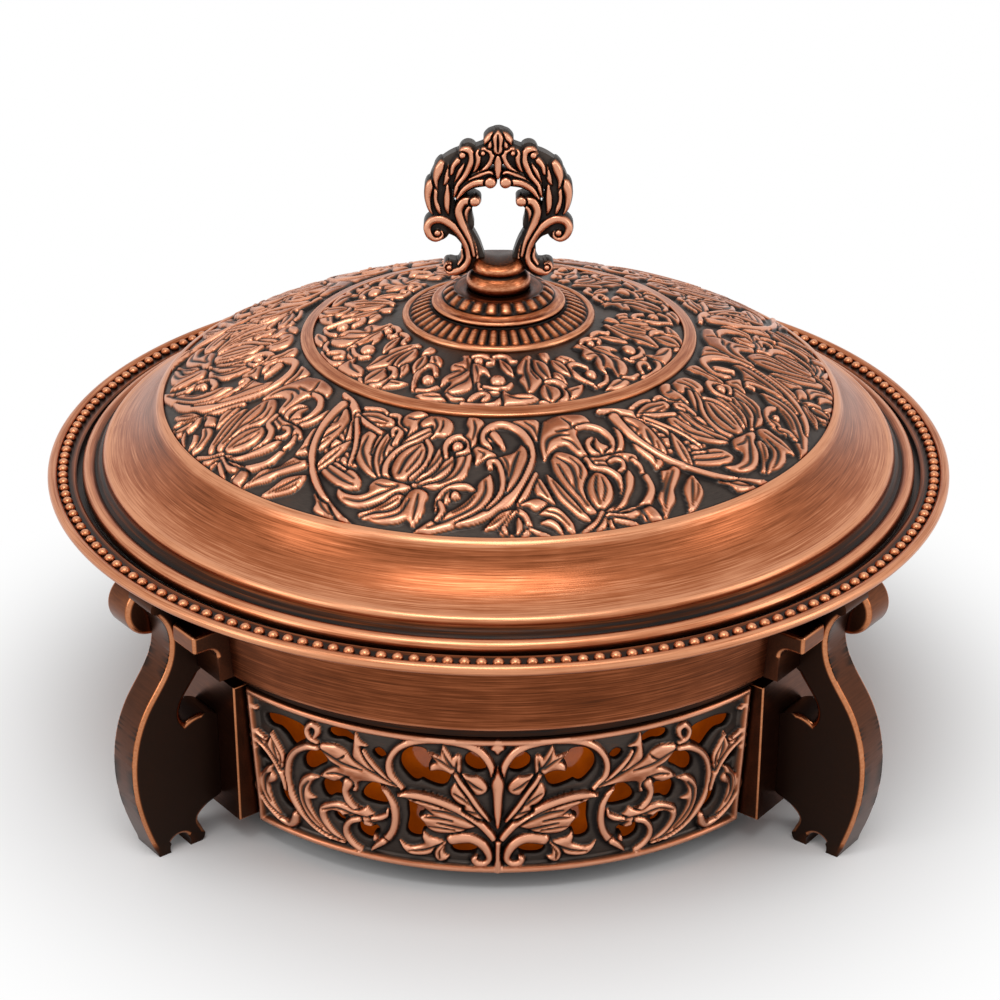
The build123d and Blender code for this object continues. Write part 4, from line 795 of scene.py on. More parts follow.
cup = {"body": "lid", "nodes": ["rosette_cup"], "slot": "antique_copper", "steps": 440, "flutes": 22,
       "fluteInner": 19.4, "fluteOuter": 24.3, "fluteDepth": 1.7, "floor": 209.0}
cupProfile = (
    [(14, 205.8, 0.2), (28.6, 205.8, 0.1)]
    + arc(28.2, 206.8, 0.95, -80, 80, 6, (0.5, 0.95, 0.9))
    + bend((28.0, 207.8), (25.9, 208.2), (24.9, 209.1), 6, (0.75, 0.85, 0.6))
    + [(24.5, 209.2, 0.08)]
    + [(24.3 - 4.9 * i / 10, 209.3 + 3.8 * (i / 10) ** 0.8, 0.5) for i in range(11)]
    + [(19.2, 213.0, 0.1), (18.4, 213.25, 0.45), (13.6, 213.2, 0.3), (13.2, 212.6, 0.1), (13, 211, 0.1)]
)
turnPiece("rosette_cup_fluted", cup, cupProfile, turnedCopper, fluted(cup, 0.5), 60)

neck = {"body": "lid", "nodes": ["handle_neck"], "slot": "antique_copper", "steps": 128,
        "saddle": 2.8}
neckProfile = (
    # the dark step where the neck meets the cup and its groove are painted shade; the bulges are rubbing and painted
    # highlight
    [(0, 213.2, 0.2), (12.6, 213.2, 0.05)]
    + bend((13.0, 213.4), (13.9, 215.6), (12.3, 220.2), 12, (0.3, 0.95, 0.6))
    + [(11.9, 220.7, 0.1), (11.1, 221.2, 0.05), (11.2, 221.6, 0.1)]
    + bend((11.8, 222.2), (11.9, 223.6), (10.8, 227.2), 6, (0.6, 0.95, 0.6))
    + [(10.3, 228.6, 0.4), (9.0, 229.5, 0.3), (0, 229.7, 0.2)]
)


def saddled(mesh):
    # hollows the collar's top across, where the wreath's foot sits
    places = readPoints(mesh)
    share = np.clip((places[:, 2] - 223.5) / 5, 0, 1)
    places[:, 2] -= neck["saddle"] * share * (1 - (places[:, 0] / 11.5) ** 2)
    writePoints(mesh, places)


turnPiece("handle_neck_turned", neck, neckProfile, turnedCopper, saddled)
print("rosette and neck turned")

# Wreath handle: an openwork plate whose two faces are carved alike

wreath = {"body": "lid", "nodes": ["handle_wreath"], "slot": "antique_copper", "cell": 0.34, "edge": 2.8, "half": 6.7,
          "foot": 219.0, "squeeze": 0.974, "fieldStep": 0.16, "scale": 1.25, "tall": 3.0, "innerWidth": 4,
          "bodyRise": 1.2, "bodyRun": 3.0, "easeFrom": 4.6}
wreathDesign = """
web -9.3,228.2,3.3 -11.8,234.6,3.6 -15.8,240.8,4.0 -21,245,4.8 -24,251.8,5.4 -25,259.5,5.4 -22.6,267.2,5.2
  -17,271.9,5.2 -9.7,274.4,4.6 -3.4,276.4,5.0 0,277.5,5.2
web -11.6,228.8,3 -13.8,224.5,3 -18.4,223,3.6 -20.8,224,3
web -26,241.4,5.2
web -13.2,243.5,2.8 -14.5,248.7,3.2 -14,253.4,3.3 -10.7,255.2,2.8
web -16.1,260.6,3 -10.7,263.4,3 -4.2,264.4,2.9
web 0,282,5.2
web -12.8,277.4,3.8
shape -27.2,247.6,1 -30,250.6 -31.6,256 -31.6,261 -30.2,264.4 -27.9,265.4,1 -27.2,261.4 -28.4,257 -28.2,252
shape -24.2,248,1 -26.9,252 -27.7,258 -26.5,263.4 -25.2,261,1 -25.6,256 -24.4,252
shape -27,262,1 -27.9,266.4 -27,271 -24.4,274 -22.4,272.8,1 -23.4,268.6 -25.2,264.4 -25.4,260,1
shape -20.9,248.2,1 -23,252 -23.3,257 -22.3,262 -22.9,265.4,1 -20.9,262.6 -20.1,257 -20.5,252
shape -23.4,262,1 -22.9,267 -21.4,271 -21,273.4,1 -20.2,268 -21.1,264
shape -20.6,267,1 -20.2,271.4 -17.4,275.4 -15.4,275.6 -15.9,272.8,1 -17.9,270.6 -19,267.4
shape -19.4,259,1 -18.9,264 -17.3,269.4 -14,273.4,1 -14.6,269 -16.4,264 -17.8,259.4
rod -18.6,257,0.7 -17.4,262,1.1 -14,267,1.4 -11.8,271.4,1.6 -11,275.4,1.6 -12.2,278.4,1.5 -14.6,278.6,1.4
  -15.8,276.6,1.3
ball -15,276.3,1.5
shape -12.6,265.6,1 -11,269 -9.8,273.4 -9.8,277.6 -7.4,279.6,1 -7,275 -8,270.6 -10.2,266.8
rod -11,266.6,0.7 -6.4,269.4,1.0 -3.4,272.6,1.3 -2.4,275.8,1.4 -3.6,278.6,1.3 -5.8,279,1.2 -6.8,277.4,1.1
ball -6.3,277.2,1.1
rod -15.6,261.4,0.7 -11.4,265.2,0.9 -7,267.4,1.0 -3.4,268.4,0.9 -0.8,266.8,0.7
rod -17.4,256.4,0.8 -14.6,260.4,1.3 -10.6,263.2,1.6 -6.4,263.8,1.7 -4,262.8,1.5
ball -3.2,263.6,2.7
shape -6.2,280.4,1 -6.3,283.4 -4.2,286 -2,286.8,1 -1.8,283.6 -3.2,281.6
shape -1.8,277.6,1 -2.6,281.4 -2.2,285 0,287.3,1 2.2,285 2.6,281.4 1.8,277.6,1 0,276.4
cut 0,278,0.3 0,281.6,0.5 0,285.6,0.3
shape -4.6,279.6,1 -4.4,281.6 -2.8,283.2,1 -2.2,280.6 -3.2,279
petal 0,265.6,0.6 0,269,1.5 0,272.6,1.8 0,275.6,0.8
rod -26.6,240.6,0.9 -24.5,240.4,1.1 -24.6,238.3,1.2 -27,237.5,1.5 -29.5,239.3,1.7 -30.4,243,1.8 -28.4,246,1.8
  -24.2,246.6,1.9 -19.8,244,1.8 -16.3,240.1,1.8 -13.9,235.3,1.8 -12.9,230.3,1.8 -14.2,225.3,1.8 -17.4,222.5,1.9
  -20.6,222,1.7 -22.4,223.7,1.4 -22.1,225.5,1.1 -20.6,225.7,0.9
ball -26,240.5,1.5
ball -21.1,224.2,1.3
rod -15.6,232.6,0.5 -15.4,228.6,0.9 -17.2,225.6,0.6
rod -10.7,254.4,0.8 -13.5,250.2,1.1 -13.9,245,1.1 -12.1,239.3,1.1 -10,233.5,1.0 -8.9,228.8,0.7
rod -11.4,255.4,1.7 -14.9,254.9,1.9 -16.9,250.7,1.9 -15.7,245.5,1.8 -13.6,240.8,1.4 -11.5,235.6,1.0 -10.3,229.8,0.7
ball -9.8,255,2.5
"""
wreathField = newField(-40, 214, 40, 290, wreath["fieldStep"])
wreathStrokes = readStrokes(wreathDesign)
for _, points in wreathStrokes:
    points[:, 1] = wreath["foot"] + (points[:, 1] - wreath["foot"]) * wreath["squeeze"]
drawDesign(wreathField, wreathStrokes, mirrored, wreath["scale"])
wreathField["inner"] = softened(np.clip(-wreathField["gap"], 0, wreath["innerWidth"]), 2)
finishField(wreathField, wreath["tall"])


def snapEdges(bm, field, layer, level, reach, fixed=None):
    # moves the open edges of a cut sheet onto the field's contour, so that they don't run in steps
    slope = 0.4
    for _ in range(2):
        rim = [v for v in bm.verts if v.is_boundary and not (fixed and fixed(v.co))]
        if not rim:
            return
        x = np.array([v.co.x for v in rim])
        y = np.array([v.co.y for v in rim])
        value = readField(field, layer, x, y) - level
        gx = (readField(field, layer, x + slope, y) - readField(field, layer, x - slope, y)) / (2 * slope)
        gy = (readField(field, layer, x, y + slope) - readField(field, layer, x, y - slope)) / (2 * slope)
        steep = np.maximum(gx**2 + gy**2, 0.05)
        mx = np.clip(-value * gx / steep, -reach, reach)
        my = np.clip(-value * gy / steep, -reach, reach)
        for v, dx, dy in zip(rim, mx, my):
            v.co.x += dx
            v.co.y += dy


def cutSheet(lowX, lowY, highX, highY, cell, keep):
    # a flat grid in millimetres, without the faces outside keep(x, y), free of points that only touch at a corner
    bm = bmesh.new()
    across, up = int(round((highX - lowX) / cell)), int(round((highY - lowY) / cell))
    bmesh.ops.create_grid(bm, x_segments=across, y_segments=up, size=0.5)
    bmesh.ops.scale(bm, vec=(highX - lowX, highY - lowY, 1), verts=bm.verts)
    bmesh.ops.translate(bm, vec=((lowX + highX) / 2, (lowY + highY) / 2, 0), verts=bm.verts)
    faces = list(bm.faces)
    middles = np.array([f.calc_center_median()[:2] for f in faces])
    kept = keep(middles[:, 0], middles[:, 1])
    bmesh.ops.delete(bm, geom=[f for f, k in zip(faces, kept) if not k], context="FACES")
    for _ in range(6):
        pinched = {f for v in bm.verts if sum(e.is_boundary for e in v.link_edges) > 2 for f in v.link_faces}
        thin = {f for f in bm.faces if sum(e.is_boundary for e in f.edges) > 2}
        if not pinched and not thin:
            break
        bmesh.ops.delete(bm, geom=list(pinched | thin), context="FACES")
    return bm


def thickenSheet(bm):
    # a second face behind the first, with walls between; the layer "back" is 1 on the second
    back = bm.verts.layers.float.new("back")
    grown = bmesh.ops.extrude_face_region(bm, geom=list(bm.faces), use_keep_orig=True)
    for v in (g for g in grown["geom"] if isinstance(g, bmesh.types.BMVert)):
        v[back] = 1.0
        v.co.z -= 1.0
    bmesh.ops.recalc_face_normals(bm, faces=bm.faces)


def readSheet(mesh):
    # which points are on the second face, and all the places across and up, in millimetres
    back = np.zeros(len(mesh.vertices))
    mesh.attributes["back"].data.foreach_get("value", back)
    mesh.attributes.remove(mesh.attributes["back"])
    across, up, _ = (readPoints(mesh) * mm).T
    return back > 0.5, across, up


def dressWreath(mesh):
    # half the thickness eases towards its limit, so that no form is cut off flat
    back, x, z = readSheet(mesh)
    inner = readField(wreathField, "inner", x, z)
    body = wreath["edge"] + wreath["bodyRise"] * np.sqrt(np.clip(inner / wreath["bodyRun"], 0, 1))
    thick = body + readField(wreathField, "height", x, z)
    over = np.maximum(thick - wreath["easeFrom"], 0)
    room = wreath["half"] - wreath["easeFrom"]
    thick += room * (1 - np.exp(-over / room)) - over
    writePoints(mesh, np.column_stack([x, np.where(back, thick, -thick), z]))
    writeWearAndPaintedLight(mesh, readField(wreathField, "wearAndPaintedLight", x, z))


sheet = cutSheet(-36, 216, 36, 288, wreath["cell"], lambda x, y: readField(wreathField, "gap", x, y) < 0)
snapEdges(sheet, wreathField, "gap", 0.0, 0.3)
thickenSheet(sheet)
finishPiece("handle_wreath_carved", sheet, wreath, carvedCopper, 62, dressWreath)
print("wreath carved")

# Outer dish: rolled rim, flange, lid seat and bowl

dish = {"body": "dish", "nodes": ["dish_body"], "slot": "antique_copper", "steps": 360}
dishProfile = (
    [(0, 64.0, 0.3), (125.4, 64.0, 0.35), (126.4, 64.3, 0.5)]
    + [(134.0, 78.0, 0.45), (138, 82.5, 0.4), (157.6, 110.0, 0.4), (157.6, 131.2, 0.3), (188.9, 131.2, 0.2),
       (188.9, 134.2, 0.3), (195.6, 134.1, 0.4)]
    # the rolled rim is rubbing and painted highlight; the channel behind it and the step under it are painted dark as
    # shade
    + arc(197.8, 135.8, 2.2, -125, 150, 16, (0.45, 0.98, 0.75))
    + [(195.7, 136.1, 0.08), (190.6, 135.9, 0.06), (189.4, 136.3, 0.35), (188.3, 136.5, 0.6), (187.4, 135.9, 0.35),
       (187.3, 132.8, 0.1), (156.6, 132.8, 0.2), (156.0, 132.2, 0.3), (156.0, 110.4, 0.4), (132.4, 78.6, 0.4),
       (124.4, 65.6, 0.35), (0, 65.6, 0.35)]
)
turnPiece("dish_turned", dish, dishProfile, turnedCopper)

beads = {"body": "dish", "nodes": ["bead_ring"], "slot": "antique_copper", "count": 187, "radius": 2.55,
         "circle": 193.3, "centre": 135.9}
bm = bmesh.new()
for i in range(beads["count"]):
    where = Matrix.Rotation(2 * math.pi * i / beads["count"], 4, "Z") @ Matrix.Translation(
        (0, -beads["circle"] * mm, beads["centre"] * mm))
    bmesh.ops.create_uvsphere(bm, u_segments=10, v_segments=6, radius=beads["radius"] * mm, matrix=where)


def beadWearAndPaintedLight(mesh):
    places = readPoints(mesh)
    # brighter on top and darker underneath: partly rubbing, partly painted highlight and painted shade
    writeWearAndPaintedLight(mesh, (places[:, 2] - beads["centre"]) / beads["radius"] * 1.1 + 0.15)


finishPiece("rim_beads", bm, beads, turnedCopper, 80, beadWearAndPaintedLight)

pan = {"body": "food_pan", "nodes": ["food_pan"], "slot": "steel", "steps": 256}
panProfile = (
    [(0, 78.1, 0.8)] + bend((112.2, 78.1), (130.2, 82.7), (138.2, 94.1), 10, 0.8)
    + [(151.2, 118.1, 0.8), (151.2, 133.1, 0.8), (184.8, 133.1, 0.8), (184.8, 134.3, 0.8), (150.8, 134.3, 0.8),
       (150.0, 133.6, 0.8), (150.0, 118.4, 0.8)]
    + bend((137.0, 94.4), (129.2, 83.8), (111.0, 79.3), 10, 0.8) + [(0, 79.3, 0.8)]
)
turnPiece("food_pan_turned", pan, panProfile, satinSteel)
print("dish and pan turned")

# Stand: band, recessed ring, glass liner

band = {"body": "stand", "nodes": ["band_collar"], "slot": "antique_copper", "steps": 360}
bandProfile = [
    # bright at the lower lip as rubbing and painted highlight, darker up under the dish's flange as painted shade
    (151.0, 86.0, 0.2), (160.6, 86.0, 0.35), (161.6, 86.3, 0.75), (162.1, 87.0, 0.85), (162.2, 88.2, 0.56),
    (162.9, 97.0, 0.5), (164.0, 111.0, 0.52), (165.0, 124.0, 0.42), (165.4, 129.5, 0.3), (165.5, 130.9, 0.2),
    (163.5, 130.9, 0.2), (160.0, 88.0, 0.3), (151.0, 88.0, 0.2)]
turnPiece("band_turned", band, bandProfile, turnedCopper)

shadowRing = {"body": "stand", "nodes": ["neck_ring"], "slot": "antique_copper", "steps": 256}
# the recessed ring is painted dark as the shade in the gap between band and gallery
turnPiece("neck_ring_turned", shadowRing,
          [(149.5, 79.05, 0.1), (154.5, 79.05, 0.15), (154.5, 85.95, 0.15), (149.5, 85.95, 0.1)], turnedCopper)

liner = {"body": "stand", "nodes": ["glass_liner"], "slot": "amber_glass", "steps": 256}
turnPiece("glass_liner_turned", liner,
          [(139.0, 13.85, 1), (141.5, 13.85, 1), (141.5, 75.4, 1), (141.0, 76.0, 1), (139.5, 76.0, 1),
           (139.0, 75.4, 1)], amberGlass)
print("stand's round parts turned")

# Pierced gallery: one design, cut to the long panels and, without its outermost scrolls, to the short ones

gallery = {"foot": 9.8, "tall": 69.2, "footRadius": 150.5, "flare": 4.5, "meanRadius": 152.75, "wall": 4.2,
           "cell": 0.6, "rail": 4.3, "slot": "antique_copper", "body": "stand",
           "longHalf": 114.4, "shortHalf": 77.0, "recess": 1.6, "fieldStep": 0.2, "grow": 0.35, "scale": 1.3,
           "tallest": 3.0, "holeGrow": 1.1, "formMargin": 0.4, "endRail": 0.6, "railHeight": 3.2, "railWearAndHighlight": 0.92,
           "rimWidth": 0.9, "rimDrop": 0.7}
galleryDesign = """
hole -39.8,52 -38.8,56.5 -35.5,59.8 -31,60 -28.8,57.5 -28.6,53 -30.8,48.8 -34.2,45 -37.8,48
hole -31.2,46.7 -28.6,49.6 -24,50.6 -20.7,49.8 -21.2,46.5 -23,43.8 -27,44.4
hole -12,58.6 -9,60.2 -5.8,57.2 -5.2,53.4 -8.4,52.4 -12,54.6
hole -36.8,33.6 -33,33.4 -31.2,31.2 -33.2,28 -31.4,22.5 -32.6,17.4 -35.4,16.3 -38,18 -37,25
hole -18.8,11.6 -17.6,14.4 -13.6,15.4 -9.8,14.6 -9.4,12 -12,10.4 -17,10.2
hole -52.2,39.2 -56,36 -57.8,31.6 -53,30.4 -48.2,30.8 -47.6,33.6 -49.4,37
hole -76,27.2 -77.4,31.6 -74.5,35.2 -70,35.4 -67.8,32.4 -69.4,30 -73,29.2
hole -85.8,39 -85.5,43 -81,47.6 -77.6,48 -75.8,45.2 -79.6,42 -83.6,38.8
hole -60,12.6 -60.3,16 -57,17.5 -52.8,16.6 -54,12.8 -56.6,11
hole -71.6,19.4 -69,19.8 -69.2,16.6 -71.4,17.4
hole -72,59.8 -70.8,61.8 -66,62.8 -62,61 -61.7,58.8 -66,59.8 -70,59
hole -51.5,55.3 -49.7,57 -48,55.3 -49.7,53.6
hole -105,57 -100,58.8 -94,59.3 -87,58.5 -84.9,55.8 -88,51 -91,48.2 -95,52.3 -99,54.5 -103.6,54.4
hole -109.2,35.2 -109.2,38.8 -106.4,39.8 -103,37 -102,34.6 -106,34.4
hole -100.4,23.8 -97.8,25 -95.2,21 -93.8,16 -96.6,14.3 -100,17 -101,21
rod -1.6,47.5,1.2 -2,52,1.5 -3.6,57,1.7 -7,62,1.8 -12.5,65.4,1.8 -20,66.8,1.8 -28,66.6,1.8 -35,64.7,1.7 -40.5,61,1.5
  -44,56,1.5 -45.3,51,1.5 -44.5,46,1.5 -42,42,1.6 -39.5,39.5,1.2
rod 0,24.6,0.6 0,32,1.6 0,40,2.1 0,46,2.6 0,50,1.3 0,54,0.3
shape 0,60.6,1 -1.6,63 -2.9,63.6,1 -2,66 -0.8,68.6 0.8,68.6 2,66 2.9,63.6,1 1.6,63
shape -42,37,1 -37,34.8 -31,32.2 -27.3,29.2,1 -30,28.3 -33,27,1 -31,24.2 -29.5,22 -26,20.2 -21,20 -16,21 -11,23.5
  -7,23.8 -3,18.5 -0.6,15,1 -1.5,19 -6,26.5 -12,31.8 -20,36.6 -29,39.6 -37,40.4
cut -27,31.6,0.4 -21,30.8,0.8 -14,28,0.8 -8,24.5,0.4
cut -25,25.5,0.3 -18,24,0.6 -11,22.4,0.4
cut -30.5,27.2,0.3 -25,27.8,0.5 -19,27,0.4
cut -29,23,0.2 -24,23,0.4 -18,22.2,0.3
rod -0.3,15.5,1.0 -2.8,20.3,1.5 -7.5,26.3,1.7 -14,31.5,1.8 -22,35.6,1.9 -30,37.8,2.0 -37,38.2,1.6 -41.5,37.3,0.5
rod 0,2.6,2.1 0,6,1.6 0,11,1.1 -0.2,16.5,1.1
rod -19,17,2.7 -15,17.9,2.7 -11,17.8,2.4 -7,15.5,2.3 -4.3,11.5,2.0 -3.6,8,1.6 -5.5,5.5,1.4 -8.5,5.4,1.6 -10,7,1.5
  -9.3,8.8,0.7
shape -42,13,1 -40.5,9.5 -38,7.3 -34,7 -29,8.3 -24.5,12 -22,15.3,1 -26,16.5 -29,17.3 -31.5,19.3,1 -32,16.5 -31.3,14
  -34,12 -37.5,10.9 -40,11.6
cut -38,9,0.3 -31,10.5,0.6 -25,13.8,0.4
shape -22,15.3,1 -26,11.5 -27,8.5 -26,6 -24,5.3 -21.5,6.5 -21,8,1 -22.6,9 -23,11.5
cut -22.8,13.6,0.3 -24.8,10,0.4 -24.5,7,0.3
shape -28.8,60.2,1 -23.4,59,1 -22.3,65,1 -20.2,61 -18.6,58.4,1 -16.2,60.2 -14.8,57.5 -15.4,50.3,1 -17.5,53.2
  -16.3,48.5 -15.8,45,1 -17.8,45,1 -18.2,48.5 -20.5,51 -24,51.9 -28,51,1 -27.6,54 -25,56,1
cut -22.4,62,0.3 -20.6,57.5,0.6 -18,53.5,0.5
cut -26.5,58.6,0.3 -22.5,56.4,0.5 -19,53.4,0.4
cut -16.4,58.6,0.2 -16.8,55,0.5 -17.2,52,0.3
shape -15.6,47.2,1 -18.4,45 -19.6,41.5 -18.3,38 -15.8,35.6 -13.8,35,1 -14,32.6 -11.5,30.6 -8,28.4 -3.4,27.8,1 -6,31.6
  -9,36.5 -11.7,41.5 -14,45.5
cut -18,41,0.3 -14.5,38.5,0.5 -11.5,35.5,0.3
cut -13,32.6,0.2 -9.5,31.4,0.5 -7,30.4,0.3
shape -14.5,50.3,1 -10.5,49.8 -8.8,50,1 -6,47.8 -4,45 -4.4,42.3 -7,40.5 -9.3,40.6,1 -11.5,44.5 -13.6,48.5
cut -6.4,43.4,0.3 -9.6,45.2,0.6 -12.4,48,0.3
rod -17.2,50,0.8 -15.2,46,1.0 -12,41,1.1 -8.5,34.8,1.1 -5.6,30.5,0.9 -3.2,27.2,0.4
shape -59.6,64.4,1 -57.8,61 -54.5,58.6,1 -57.4,58 -57,55 -53.5,50.5 -48,45.5 -42,40.6,1 -50,44.3 -57,48.5 -61,52
  -60.8,57
rod -56.2,56,0.5 -54.3,52.5,0.8 -51,48.5,0.9 -46.5,44.5,0.7 -43,41.6,0.4
shape -79.5,53.2,1 -74,54.8 -68.5,55.6 -64.8,54 -61.5,50.5 -56,47.6 -48,43.6 -41.5,40.3,1 -48,41.2 -54,41 -59,39.6
  -60.5,34.3,1 -63.5,34.6 -66.8,36 -67.6,38.4 -71,36.8 -77.8,37.6,1 -74.5,41.5 -70.5,44.3 -68,45.2,1 -71.5,46.5
  -74.5,49
cut -78,52,0.4 -72,49.7,0.9 -65.5,47.4,0.8 -57,46.4,0.3
cut -74,40,0.3 -69,41.4,0.6 -63,41.6,0.3
cut -64,53,0.2 -66,50.5,0.4 -68,49.4,0.2
rod -64.2,38,2.4 -65.6,33.5,1.6 -64.3,29,1.4 -61,26,1.3 -57,25.6,1.4
rod -78,54.5,1.0 -81.8,55.8,1.2 -82.6,59.5,1.3 -80,62.6,1.4 -77.5,61.6,1.4 -77.6,59,1.2 -79,56.5,0.8
rod -78,51.5,1.2 -83.5,50.3,1.7 -89.5,46,1.7 -93.5,39.5,1.6 -95,31,1.6 -93.8,22.5,1.6 -89.5,15.5,1.6 -82.5,10,1.5
  -75,7.2,1.3 -68,6.4,0.8
shape -78.5,36.2,1 -83,36.3 -87.5,33 -89.5,27 -88.8,20 -85.5,14 -80,9.8 -72,7,1 -77.5,10.5 -82,15 -84,19.5 -83.8,23
  -81.2,24.6,1 -84,26.5 -84,29.5 -81.5,33.5
cut -83.5,33,0.3 -87,27.4,0.8 -86.8,20.5,0.8 -83.2,14.5,0.6 -78.5,10.3,0.4
shape -56,27.4,1 -53.5,25 -50,24.4 -47.3,25.8 -46,28.6,1 -46.3,25 -48.5,22 -52,20.8 -55.5,20.6,1 -54,18,1 -57,17.8
  -60,19.2 -63.5,18.5 -66,21 -67.5,19,1 -69,21.3 -72.5,21.3 -75.6,19.4 -76,16 -74,12 -70.5,8.8 -67,6.6,1 -73,8.5
  -77.5,12.5 -79.6,17 -78.8,21.5 -75,24.3 -69,26.4 -65,25.6 -61,24.8
cut -77.6,20.4,0.3 -70,23.4,0.6 -62,22.4,0.6 -55,22.6,0.4
cut -66.8,20.2,0.3 -64,22,0.5
rod -60,20.3,1.4 -64,18.3,1.5 -66.4,14.5,1.5 -66.3,10.5,1.5 -64,7,1.4 -60.5,4.8,1.2
rod -46.3,28,0.8 -46.8,26,1.1 -50,23.6,1.3 -54,22.6,0.6
rod -48.5,39.5,0.6 -46,36,1.1 -44,31,1.6 -43.5,25,1.8 -44.5,19,1.8 -47,14,1.9 -50,11,2.0 -52.4,11.4,1.6 -52.9,13.8,0.6
rod -49,11.6,1.6 -52,9,1.3 -54.6,6.2,0.4
rod -92.4,12,1.7 -93.4,8.5,2.2 -96,6.2,1.7 -101,6.7,1.4 -107,10,1.5 -112,15.5,1.6 -115.5,22,1.6 -117.5,29,1.5
  -117,35.5,1.3 -115,39.5,1.1 -113.2,41.3,1.1 -112,40,0.9
shape -103.5,33.4,1 -107.3,31 -110.4,27 -111.8,22 -110.8,16.5 -107.6,12 -101.5,8.4,1 -105,13 -106.6,18 -106.8,22.3
  -103.5,24.8 -102.4,27.5 -104.4,30.4
cut -104.5,29.5,0.3 -108.4,25,0.8 -109,18.5,0.7 -106.4,13.6,0.4
rod -120,46.5,1.7 -112,44.3,1.7 -106,41.3,1.8 -101,36.5,1.8 -97.8,30,1.5 -96.3,24,0.6
shape -112.5,48.6,1 -108,47.8 -104,46.6 -102.4,50.4,1 -98.4,45 -96,41 -96.8,36.4 -98.4,33.4,1 -100.6,37.5 -104.4,41.8
  -110,44.6
cut -102.4,48.6,0.3 -101.4,43.5,0.8 -99.4,37.5,0.5
rod -102.2,50.2,0.5 -99.3,45.8,0.9 -96.8,41,0.9 -97.3,35.4,0.5
rod -110,60,0.8 -112.5,60.6,1.1 -115,57.5,1.3 -115.8,53,1.4 -114,49.3,1.5 -110,47.3,1.3 -105.5,46.3,0.7
shape -118,14,1 -114.6,12.4 -113.6,9.6 -115.6,7.4 -118,6.6,1
"""


def galleryField(half, limit):
    # limit leaves out the forms that reach further from the panel's middle
    field = newField(-half - 2, -2, half + 2, gallery["tall"] + 2, gallery["fieldStep"], gallery["grow"])
    strokes = [(kind, points) for kind, points in readStrokes(galleryDesign) if np.abs(points[:, 0]).max() <= limit]
    drawDesign(field, strokes, mirrored, gallery["scale"])
    rows, columns = field["gap"].shape
    x = field["lowX"] + np.arange(columns) * field["step"]
    y = field["lowY"] + np.arange(rows) * field["step"]
    ends = np.minimum(x + half, half - x)[None, :] + gallery["endRail"]
    frameGap = np.minimum(np.minimum(y, gallery["tall"] - y)[:, None], ends)
    formGap = np.minimum(field["gap"] - gallery["formMargin"], frameGap - gallery["rail"])
    field["gap"] = softened(np.clip(np.minimum(field["open"] + gallery["holeGrow"], formGap), -5, 5), 1)
    finishField(field, gallery["tallest"])
    middle = gallery["rail"] / 2
    rise = np.clip(1 - (frameGap - middle) ** 2 / middle**2, 0, 1) ** 0.5
    rail = np.where(frameGap < gallery["rail"], rise, 0)
    field["height"] = np.maximum(field["height"], gallery["railHeight"] * rail)
    # the rails' crests brighten: rubbing and painted highlight
    field["wearAndPaintedLight"] = np.maximum(field["wearAndPaintedLight"], gallery["railWearAndHighlight"] * rail**1.5)
    return field


def galleryPanel(name, node, half, field, turn):
    def dress(mesh):
        back, u, v = readSheet(mesh)
        rim = np.clip(-readField(field, "gap", u, v) / gallery["rimWidth"], 0, 1) ** 0.5
        lift = (readField(field, "height", u, v) - gallery["recess"]) - gallery["rimDrop"] * (1 - rim)
        depth = np.where(back, -gallery["wall"], lift)
        radius = gallery["footRadius"] + gallery["flare"] * v / gallery["tall"] + depth
        angle = u / gallery["meanRadius"] + math.radians(turn)
        writePoints(mesh, np.column_stack([radius * np.sin(angle), -radius * np.cos(angle), gallery["foot"] + v]))
        # the back face is kept dark, and the front darkens towards the lips of the piercings
        writeWearAndPaintedLight(mesh, np.where(back, 0.1, readField(field, "wearAndPaintedLight", u, v) * (0.45 + 0.55 * rim)))
    sheet = cutSheet(-half, 0, half, gallery["tall"], gallery["cell"],
                     lambda x, y: readField(field, "gap", x, y) < 0)
    snapEdges(sheet, field, "gap", 0.0, 0.45,
              lambda co: abs(abs(co.x) - half) < 0.05 or abs(co.y) < 0.05 or abs(co.y - gallery["tall"]) < 0.05)
    thickenSheet(sheet)
    return finishPiece(name, sheet, {**gallery, "nodes": [node]}, carvedCopper, 62, dress)


longField = galleryField(gallery["longHalf"], 200)
shortField = galleryField(gallery["shortHalf"], 79)
for side, size, field, turn in (("front", "longHalf", longField, 0), ("rear", "longHalf", longField, 180),
                                ("right", "shortHalf", shortField, 90), ("left", "shortHalf", shortField, 270)):
    galleryPanel(f"gallery_{side}_pierced", f"gallery_panel_{side}", gallery[size], field, turn)
print("gallery pierced")

# Corner castings: the solids' own shapes with rounded edges, rubbed bright and painted with highlight

corner = {"slot": "cast_copper", "body": "stand", "azimuth": 52.0, "sharpFrom": 40, "edgeWearAndHighlight": 0.82,
          "frontWear": 0.2, "flatFrom": 0.985}


def cornerFrame(node):
    # outward and sideways directions of a corner, told from its name
    side = -1 if "left" in node else 1
    near = -1 if "front" in node else 1
    turn = math.radians(corner["azimuth"])
    outward = Vector((side * math.sin(turn), near * math.cos(turn), 0))
    return outward, Vector((-outward.y, outward.x, 0))


